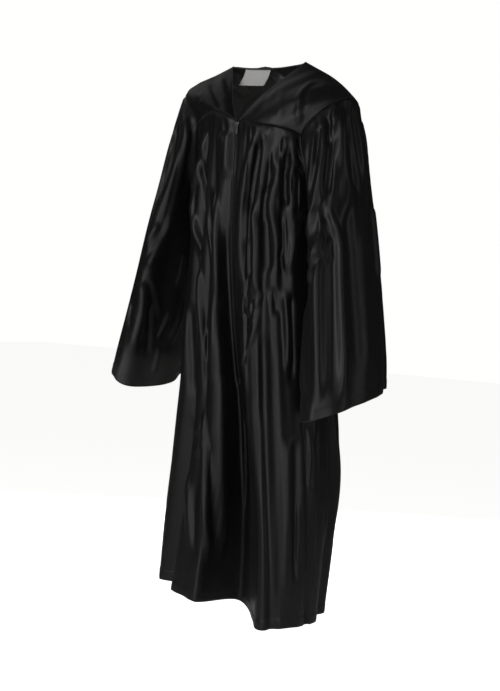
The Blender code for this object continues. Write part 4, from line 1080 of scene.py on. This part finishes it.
def repeat_group():
    """Copies of one small shape at every point of a mesh, turned as its points say."""
    group = bpy.data.node_groups.new("repeat_shape", "GeometryNodeTree")
    sockets = group.interface
    sockets.new_socket("Geometry", in_out="INPUT", socket_type="NodeSocketGeometry")
    shape = sockets.new_socket("Shape", in_out="INPUT", socket_type="NodeSocketObject")
    finish = sockets.new_socket("Finish", in_out="INPUT", socket_type="NodeSocketMaterial")
    sockets.new_socket("Geometry", in_out="OUTPUT", socket_type="NodeSocketGeometry")
    given, result = add_node(group, "NodeGroupInput"), add_node(group, "NodeGroupOutput")
    source = add_node(group, "GeometryNodeObjectInfo")
    turn = add_node(group, "GeometryNodeInputNamedAttribute", {"Name": "turn"}, data_type="FLOAT_VECTOR")
    placed = add_node(group, "GeometryNodeInstanceOnPoints")
    real = add_node(group, "GeometryNodeRealizeInstances")
    paint = add_node(group, "GeometryNodeSetMaterial")
    join(
        group,
        (given, "Shape", source, "Object"),
        (given, "Geometry", placed, "Points"),
        (source, "Geometry", placed, "Instance"),
        (turn, "Attribute", placed, "Rotation"),
        (placed, "Instances", real, "Geometry"),
        (real, "Geometry", paint, "Geometry"),
        (given, "Finish", paint, "Material"),
        (paint, "Geometry", result, "Geometry"),
    )
    return group, shape.identifier, finish.identifier


def repeated(name, shape, group, spots, along, outward, finish):
    """One piece made of copies of a small shape. Its Y lies along the line and its Z points out."""
    tree, shape_input, finish_input = group
    mesh = bpy.data.meshes.new(name)
    mesh.from_pydata(spots.tolist(), [], [])
    turns = mesh.attributes.new("turn", "FLOAT_VECTOR", "POINT")
    for k, (way, out) in enumerate(zip(along, outward)):
        side = Vector(way).cross(Vector(out)).normalized()
        facing_out = side.cross(Vector(way)).normalized()
        turned = Matrix((side, Vector(way).normalized(), facing_out)).transposed()
        turns.data[k].vector = turned.to_euler()
    holder = put_in_scene(name, mesh)
    modifier = holder.modifiers.new("repeat", "NODES")
    modifier.node_group = tree
    modifier[shape_input] = shape
    modifier[finish_input] = finish
    bpy.context.view_layer.update()
    real = bpy.data.meshes.new_from_object(holder.evaluated_get(bpy.context.evaluated_depsgraph_get()))
    holder.modifiers.clear()
    bpy.data.objects.remove(holder)
    real.name = name
    return put_in_scene(name, real)


def small_shape(name, points, faces):
    mesh = bpy.data.meshes.new(name)
    mesh.from_pydata([tuple(p) for p in points], [], faces)
    mesh.shade_smooth()
    return put_in_scene(name, mesh)


def tube(path, radii, sides):
    """Points and faces of a tube with closed ends round a path."""
    path = np.asarray(path, float)
    ahead = unit(np.gradient(path, axis=0))
    start = np.array([0.0, 0.0, 1.0]) if abs(ahead[0][2]) < 0.8 else np.array([1.0, 0.0, 0.0])
    points = []
    for spot, way, radius in zip(path, ahead, radii):
        start = unit(start - way * (start @ way))
        other = np.cross(way, start)
        for k in range(sides):
            angle = 2 * math.pi * k / sides
            points.append(spot + radius * (math.cos(angle) * start + math.sin(angle) * other))
    faces = []
    for r in range(len(path) - 1):
        for k in range(sides):
            a, b = r * sides + k, r * sides + (k + 1) % sides
            faces.append((a, b, b + sides, a + sides))
    faces.append(tuple(range(sides))[::-1])
    faces.append(tuple(range((len(path) - 1) * sides, len(path) * sides)))
    return points, faces


def stitch_shape():
    """One stitch: a short thread that dips into the cloth at both ends."""
    t = np.linspace(-1, 1, 7)
    path = np.stack([0 * t, t * STITCH_LENGTH / 2, THREAD_RADIUS * (0.9 - 1.7 * t**4)], axis=-1)
    return small_shape("one_stitch", *tube(path, THREAD_RADIUS * (1 - 0.45 * t**6), 6))


def tooth_shape():
    """One tooth: a small block with rounded edges."""
    made = bmesh.new()
    bmesh.ops.create_cube(made, size=1.0)
    bmesh.ops.scale(made, vec=TOOTH_SIZE, verts=made.verts)
    bmesh.ops.bevel(made, geom=made.edges[:], offset=TOOTH_ROUNDING, segments=2, profile=0.6, affect="EDGES")
    mesh = bpy.data.meshes.new("one_tooth")
    made.to_mesh(mesh)
    made.free()
    mesh.shade_smooth()
    return put_in_scene("one_tooth", mesh)


def neck_edge_path(forms):
    """Round the neck: up the left front edge from the tip of the V, round the back and down."""
    back = forms["back_yoke"][0]
    columns = back.shape[1] - 1
    low, high = (round(share * columns) for share in BACK_YOKE_NECK)
    left, right = forms["front_yoke_left"][0][:, 0], forms["front_yoke_right"][0][:, 0]
    path = np.vstack([left[::-1][:-1], back[0, low : high + 1], right[1:]])
    along = lengths_along(path)
    return at_lengths(np.linspace(0, along[-1], NECK_EDGE_RINGS), along, path)


# Finishes


SURFACE_OUTPUTS = {"Colour": "NodeSocketColor", "Roughness": "NodeSocketFloat", "Normal": "NodeSocketVector"}


def surface_group(name, inputs):
    """A shader node group with named inputs that puts out a surface's colour, roughness and normal."""
    group = bpy.data.node_groups.new(name, "ShaderNodeTree")
    for label, value in inputs.items():
        kind = "NodeSocketColor" if isinstance(value, tuple) else "NodeSocketFloat"
        socket = group.interface.new_socket(label, in_out="INPUT", socket_type=kind)
        socket.default_value = value
    for label, kind in SURFACE_OUTPUTS.items():
        group.interface.new_socket(label, in_out="OUTPUT", socket_type=kind)
    return group, add_node(group, "NodeGroupInput"), add_node(group, "NodeGroupOutput")


def mix_colours(group, given, result, cloud, first, second):
    """A group's colour, which changes between two given ones as a cloud does."""
    tint = add_node(group, "ShaderNodeMix", data_type="RGBA")
    join(
        group,
        (cloud, "Fac", tint, "Factor"),
        (given, first, tint, "A"),
        (given, second, tint, "B"),
        (tint, "Result", result, "Colour"),
    )


def add_dullness(group, given, result, cloud, more):
    """A group's roughness, which is the given dullness and a little more where a cloud is pale."""
    dull = add_node(group, "ShaderNodeMath", {1: more}, operation="MULTIPLY_ADD")
    join(
        group,
        (cloud, "Fac", dull, 0),
        (given, "Dullness", dull, 2),
        (dull, "Value", result, "Roughness"),
    )


def satin_group():
    """Uneven gloss and fine lengthwise ripple of satin: where it is rubbed it is duller and paler."""
    group, given, result = surface_group(
        "satin_surface",
        {
            "Cloth Colour": (0.004, 0.004, 0.0045, 1),
            "Pale Colour": (0.010, 0.010, 0.011, 1),
            "Ripple Scale": 70.0,
            "Ripple Height": 0.24,
            "Gloss Low": 0.38,
            "Gloss High": 0.48,
        },
    )
    place = add_node(group, "ShaderNodeTexCoord")
    stretch = add_node(group, "ShaderNodeMapping", {"Scale": (1.0, 1.0, 0.28)})
    cloud = add_node(group, "ShaderNodeTexNoise", {"Scale": 14.0, "Detail": 4.0})
    ripple = add_node(group, "ShaderNodeTexNoise", {"Detail": 3.0})
    grain = add_node(group, "ShaderNodeTexNoise", {"Scale": 600.0, "Detail": 2.0})
    gloss = add_node(group, "ShaderNodeMapRange", {"From Min": 0.3, "From Max": 0.7})
    height = add_node(group, "ShaderNodeMath", {1: 0.10}, operation="MULTIPLY_ADD")
    bump = add_node(group, "ShaderNodeBump", {"Distance": 0.0012})
    mix_colours(group, given, result, cloud, "Cloth Colour", "Pale Colour")
    join(
        group,
        (place, "Object", stretch, "Vector"),
        (stretch, "Vector", cloud, "Vector"),
        (stretch, "Vector", ripple, "Vector"),
        (given, "Ripple Scale", ripple, "Scale"),
        (place, "Object", grain, "Vector"),
        (cloud, "Fac", gloss, "Value"),
        (given, "Gloss Low", gloss, "To Min"),
        (given, "Gloss High", gloss, "To Max"),
        (gloss, "Result", result, "Roughness"),
        (grain, "Fac", height, 0),
        (ripple, "Fac", height, 2),
        (given, "Ripple Height", bump, "Strength"),
        (height, "Value", bump, "Height"),
        (bump, "Normal", result, "Normal"),
    )
    return group


def woven_group():
    """Threads that cross each other, uneven in height and shade."""
    group, given, result = surface_group(
        "woven_surface",
        {
            "Thread Colour": (0.02, 0.02, 0.02, 1),
            "Other Colour": (0.03, 0.03, 0.03, 1),
            "Threads": 900.0,
            "Thread Height": 0.4,
            "Dullness": 0.75,
        },
    )
    place = add_node(group, "ShaderNodeTexCoord")
    weave = add_node(group, "ShaderNodeMath", operation="MAXIMUM")
    for k, turn in enumerate(((0.0, 0.0, 0.0), (0.0, math.pi / 2, 0.0))):
        turned = add_node(group, "ShaderNodeMapping", {"Rotation": turn})
        uneven = {"Distortion": 0.6, "Detail": 1.0}
        threads = add_node(group, "ShaderNodeTexWave", uneven, bands_direction="X")
        join(
            group,
            (place, "Object", turned, "Vector"),
            (turned, "Vector", threads, "Vector"),
            (given, "Threads", threads, "Scale"),
            (threads, "Fac", weave, k),
        )
    cloud = add_node(group, "ShaderNodeTexNoise", {"Scale": 60.0, "Detail": 5.0})
    bump = add_node(group, "ShaderNodeBump", {"Distance": 0.0002})
    mix_colours(group, given, result, cloud, "Thread Colour", "Other Colour")
    add_dullness(group, given, result, cloud, 0.15)
    join(
        group,
        (place, "Object", cloud, "Vector"),
        (given, "Thread Height", bump, "Strength"),
        (weave, "Value", bump, "Height"),
        (bump, "Normal", result, "Normal"),
    )
    return group


def metal_group():
    """Nickel plate, rubbed paler and smoother in patches and finely scratched."""
    group, given, result = surface_group(
        "plated_surface",
        {
            "Plate Colour": (0.50, 0.50, 0.51, 1),
            "Worn Colour": (0.66, 0.64, 0.60, 1),
            "Dullness": 0.22,
        },
    )
    place = add_node(group, "ShaderNodeTexCoord")
    cloud = add_node(group, "ShaderNodeTexNoise", {"Scale": 400.0, "Detail": 4.0})
    scratch = add_node(group, "ShaderNodeTexNoise", {"Scale": 2600.0, "Detail": 2.0})
    drawn = add_node(group, "ShaderNodeMapping", {"Scale": (1.0, 1.0, 0.12)})
    bump = add_node(group, "ShaderNodeBump", {"Strength": 0.15, "Distance": 0.0001})
    mix_colours(group, given, result, cloud, "Plate Colour", "Worn Colour")
    add_dullness(group, given, result, scratch, 0.25)
    join(
        group,
        (place, "Object", cloud, "Vector"),
        (place, "Object", drawn, "Vector"),
        (drawn, "Vector", scratch, "Vector"),
        (scratch, "Fac", bump, "Height"),
        (bump, "Normal", result, "Normal"),
    )
    return group


def finish_of(name, group, values, **constants):
    """A material whose colour, roughness and normal come from a surface group."""
    made = bpy.data.materials.new(name)
    made.use_nodes = True
    shader = made.node_tree.nodes["Principled BSDF"]
    surface = add_node(made.node_tree, "ShaderNodeGroup", values, node_tree=group)
    join(
        made.node_tree,
        (surface, "Colour", shader, "Base Color"),
        (surface, "Roughness", shader, "Roughness"),
        (surface, "Normal", shader, "Normal"),
    )
    for label, value in constants.items():
        shader.inputs[label.replace("_", " ")].default_value = value
    return made


def satin(name, group, **values):
    """Satin's finish: sheen, and a share of the light that comes through the cloth."""
    values = {label.replace("_", " "): value for label, value in values.items()}
    made = finish_of(name, group, values, Sheen_Weight=0.03, Sheen_Roughness=0.4, Specular_IOR_Level=0.5)
    tree = made.node_tree
    through_cloth = add_node(tree, "ShaderNodeBsdfTranslucent", {"Color": (0.9, 0.9, 0.88, 1)})
    both = add_node(tree, "ShaderNodeMixShader", {"Fac": SEE_THROUGH})
    join(
        tree,
        (tree.nodes["Principled BSDF"], "BSDF", both, 1),
        (through_cloth, "BSDF", both, 2),
        (both, "Shader", tree.nodes["Material Output"], "Surface"),
    )
    return made


# Threads of the woven pieces: colour, other colour, threads, their height and their dullness
WEAVES = {
    "tape": ((0.010, 0.010, 0.011, 1), (0.020, 0.020, 0.022, 1), 900.0, 0.4, 0.75),
    "teeth": ((0.012, 0.012, 0.013, 1), (0.022, 0.022, 0.024, 1), 300.0, 0.1, 0.28),
    "label": ((0.80, 0.79, 0.76, 1), (0.88, 0.87, 0.85, 1), 1400.0, 0.35, 0.62),
    "black_thread": ((0.010, 0.010, 0.011, 1), (0.022, 0.022, 0.024, 1), 2600.0, 0.4, 0.45),
    "pale_thread": ((0.62, 0.61, 0.58, 1), (0.78, 0.77, 0.74, 1), 2600.0, 0.4, 0.5),
}
WEAVE_INPUTS = ("Thread Colour", "Other Colour", "Threads", "Thread Height", "Dullness")
# Plated pieces: colour, colour where worn, and dullness
PLATES = {
    "zip_slider": ((0.24, 0.24, 0.25, 1), (0.38, 0.37, 0.35, 1), 0.32),
    "pull_tab": ((0.13, 0.13, 0.14, 1), (0.22, 0.21, 0.20, 1), 0.36),
}
PLATE_INPUTS = ("Plate Colour", "Worn Colour", "Dullness")


def woven_finish(name, weave, **constants):
    group = bpy.data.node_groups["woven_surface"]
    return finish_of(name, group, dict(zip(WEAVE_INPUTS, WEAVES[weave])), **constants)


# Camera, floor and light

CAMERA_TURN = 35.0
CAMERA_AWAY = 2.9
CAMERA_HEIGHT = -0.52
CAMERA_PITCH = 2.0
CAMERA_ROLL = 3.4
CAMERA_SIDE = -0.004
FOCAL_PIXELS = 1305.0
FRAME_HIGH = 691
SENSOR = 36.0
ROBE_MIDDLE = (0.0, 0.0, -0.55)
FLOOR_LEVEL = -1.45
FLOOR_HALF = 14.0
PAPER = (1.0, 1.0, 0.985, 1)  # the white ground, as the camera sees it
AROUND = 0.025  # how bright the room is beside the lamps
# Lamps: turn from the camera's side and rise in degrees, distance, width and height, power
LAMPS = {
    "window_front": (-40, 19, 3.2, (1.0, 2.0), 22),
    "window_middle": (6, 6, 3.2, (0.5, 2.0), 7),
    "window_low": (-12, -2, 3.2, (0.9, 1.2), 9),
    "window_side": (66, 12, 3.0, (0.6, 2.2), 5),
    "ceiling": (-132, 50, 3.0, (2.4, 2.4), 6),
    "backdrop": (180, 1, 3.0, (0.7, 0.7), 40),
}


def place_camera():
    turn, pitch, roll = (math.radians(a) for a in (CAMERA_TURN, CAMERA_PITCH, CAMERA_ROLL))
    right = Vector((math.cos(turn), math.sin(turn), 0.0))
    back = Vector((math.sin(turn) * math.cos(pitch), -math.cos(turn) * math.cos(pitch), math.sin(pitch)))
    up = back.cross(right)
    spot = Vector((math.sin(turn) * CAMERA_AWAY, -math.cos(turn) * CAMERA_AWAY, CAMERA_HEIGHT))
    spot += right * CAMERA_SIDE
    across = right * math.cos(roll) + up * math.sin(roll)
    upward = up * math.cos(roll) - right * math.sin(roll)
    camera = put_in_scene("camera", bpy.data.cameras.new("camera"))
    camera.data.sensor_width = SENSOR
    camera.data.lens = FOCAL_PIXELS / FRAME_HIGH * SENSOR
    camera.matrix_world = Matrix.Translation(spot) @ Matrix((across, upward, back)).transposed().to_4x4()
    bpy.context.scene.camera = camera


def soft_light(name, turn, rise, away, size, power):
    """A large soft panel that faces the middle of the robe."""
    turn, rise = math.radians(CAMERA_TURN + turn), math.radians(rise)
    toward = Vector((math.sin(turn) * math.cos(rise), -math.cos(turn) * math.cos(rise), math.sin(rise)))
    lamp = bpy.data.lights.new(name, "AREA")
    lamp.shape = "RECTANGLE"
    lamp.size, lamp.size_y = size
    lamp.energy = power
    made = put_in_scene(name, lamp)
    turned = toward.to_track_quat("Z", "Y").to_matrix().to_4x4()
    made.matrix_world = Matrix.Translation(Vector(ROBE_MIDDLE) + toward * away) @ turned
    made.visible_camera = False


def lay_floor():
    """A pale floor far below the robe, which the camera sees as white as the ground behind it."""
    floor = bpy.data.meshes.new("floor")
    corners = [(x * FLOOR_HALF, y * FLOOR_HALF, FLOOR_LEVEL) for x, y in ((-1, -1), (1, -1), (1, 1), (-1, 1))]
    floor.from_pydata(corners, [], [(0, 1, 2, 3)])
    made = put_in_scene("floor", floor)
    paint = bpy.data.materials.new("pale_floor")
    paint.use_nodes = True
    tree = paint.node_tree
    shader = tree.nodes["Principled BSDF"]
    shader.inputs["Base Color"].default_value = (0.86, 0.86, 0.85, 1)
    shader.inputs["Roughness"].default_value = 0.9
    shader.inputs["Specular IOR Level"].default_value = 0.0
    glow = add_node(tree, "ShaderNodeEmission", {"Color": PAPER})
    path = add_node(tree, "ShaderNodeLightPath")
    share = add_node(tree, "ShaderNodeMath", {1: 0.93}, operation="MULTIPLY")
    both = add_node(tree, "ShaderNodeAddShader")
    join(
        tree,
        (path, "Is Camera Ray", share, 0),
        (share, "Value", glow, "Strength"),
        (shader, "BSDF", both, 0),
        (glow, "Emission", both, 1),
        (both, "Shader", tree.nodes["Material Output"], "Surface"),
    )
    floor.materials.append(paint)


def light_room():
    world = bpy.data.worlds.new("room")
    bpy.context.scene.world = world
    world.use_nodes = True
    tree = world.node_tree
    seen = tree.nodes["Background"]
    seen.inputs["Color"].default_value = PAPER
    seen.inputs["Strength"].default_value = 1.0
    around = add_node(tree, "ShaderNodeBackground", {"Color": (0.9, 0.95, 1.0, 1), "Strength": AROUND})
    path = add_node(tree, "ShaderNodeLightPath")
    choose = add_node(tree, "ShaderNodeMixShader")
    join(
        tree,
        (path, "Is Camera Ray", choose, "Fac"),
        (around, "Background", choose, 1),
        (seen, "Background", choose, 2),
        (choose, "Shader", tree.nodes["World Output"], "Surface"),
    )
    for name, lamp in LAMPS.items():
        soft_light(name, *lamp)
    bpy.context.scene.view_settings.view_transform = "Standard"


THREADS = {"hem_stitches": "black_thread", "zip_stitches": "black_thread", "label_stitches": "pale_thread"}


def add_zip(forms):
    for side in SIDES:
        node = f"zip_tape_{side}"
        points, normals = tape_form(side, forms)
        piece = cloth_shell(f"{node}_woven", points, normals, thick=TAPE_THICK)
        piece.data.materials.append(woven_finish(f"{node}_weave_shown", "tape"))
        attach(piece, "robe")
        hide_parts(node)
    middle, across, outward = zip_line(forms)
    found = []
    for side, sign in SIDES.items():
        line = middle + across * sign * TOOTH_SIZE[0] * TOOTH_FROM_MIDDLE + outward * TOOTH_OUT
        start = SLIDER_BELOW_V + (TOOTH_PITCH / 2 if side == "left" else 0.0)
        found.append(spaced(line, outward, TOOTH_PITCH, start))
    spots, along, out = (np.vstack(part) for part in zip(*found))
    shape = tooth_shape()
    nylon = woven_finish("zip_teeth_nylon", "teeth")
    teeth = repeated("zip_teeth", shape, repeat_group(), spots, along, out, nylon)
    bpy.data.objects.remove(shape)
    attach(teeth, "robe")
    plated = metal_group()
    for node, plate in PLATES.items():
        look = finish_of(f"{node}_plate", plated, dict(zip(PLATE_INPUTS, plate)), Metallic=1.0)
        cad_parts[node].material_slots[0].material = look


def add_label(forms):
    points, normals = label_form(forms)
    piece = cloth_shell("label_woven", points, normals, thick=LABEL_THICK)
    piece.data.materials.append(woven_finish("label_weave_shown", "label", Sheen_Weight=0.2))
    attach(piece, "robe")
    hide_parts("label")


def add_stitches(forms):
    """Black stitches along the hems and beside the zip, and pale ones along the top of the label."""
    lines = {name: [] for name in THREADS}
    for node in ("front_panel_left", "front_panel_right", "back_panel", "sleeve_left", "sleeve_right"):
        points, normals = forms[node]
        if node.startswith("sleeve"):
            points = np.concatenate([points, points[:, :1]], axis=1)
            normals = np.concatenate([normals, normals[:, :1]], axis=1)
        lines["hem_stitches"].append(hem_line(points, normals, HEM_BAND - STITCHES_FROM_FOLD))
    count = rows_by_zip()
    for side in SIDES:
        points, normals = (grid[:count, 3] for grid in forms[f"front_panel_{side}"])
        lines["zip_stitches"].append((points + normals * SATIN_THICK / 2, normals))
    points, normals = label_form(forms)
    lines["label_stitches"].append((points[1] + normals[1] * LABEL_THICK / 2, normals[1]))
    group, shape = repeat_group(), stitch_shape()
    for name, found in lines.items():
        spots, along, out = (np.vstack(part) for part in zip(*(spaced(a, b, STITCH_PITCH) for a, b in found)))
        thread = woven_finish(f"{name}_thread", THREADS[name])
        piece = repeated(name, shape, group, spots, along, out, thread)
        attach(piece, "robe")
    bpy.data.objects.remove(shape)


def add_neck_edge(forms, cloth_look):
    """The neck's edge is rolled over a narrow facing and catches the light. Its satin is also painted much
    paler than the robe's, a painted highlight along the edge.
    """
    path = neck_edge_path(forms)
    radii = NECK_EDGE_RADIUS * (1 + NECK_EDGE_THICKER * ease((path[:, 1] + 0.02) / 0.03))
    piece = small_shape("neck_rolled_edge", *tube(path, radii, NECK_EDGE_SIDES))
    # Painted highlight: the edge's satin colours are several times paler than the robe's own black satin
    painted_sheen_colours = {"Cloth_Colour": (0.030, 0.030, 0.036, 1), "Pale_Colour": (0.060, 0.058, 0.070, 1)}
    piece.data.materials.append(satin("neck_edge_painted_sheen_satin", cloth_look, Ripple_Height=0.1, **painted_sheen_colours))
    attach(piece, "robe")


def main():
    cloth_look = satin_group()
    woven_group()  # each woven finish finds it by its name
    forms = {
        "front_panel_left": panel_form("left", 11),
        "front_panel_right": panel_form("right", 23),
        "back_panel": panel_form("back", 37),
        "sleeve_left": sleeve_form("left", 41),
        "sleeve_right": sleeve_form("right", 53),
        "front_yoke_left": yoke_form("left", 61),
        "front_yoke_right": yoke_form("right", 71),
        "back_yoke": yoke_form("back", 83),
    }
    for node, (points, normals) in forms.items():
        piece = cloth_shell(f"{node}_cloth", points, normals, closed=node.startswith("sleeve"))
        piece.data.materials.append(satin(f"{node}_satin_shown", cloth_look))
        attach(piece, "robe")
        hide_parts(node)
    add_zip(forms)
    add_label(forms)
    add_stitches(forms)
    add_neck_edge(forms, cloth_look)
    place_camera()
    lay_floor()
    light_room()


main()
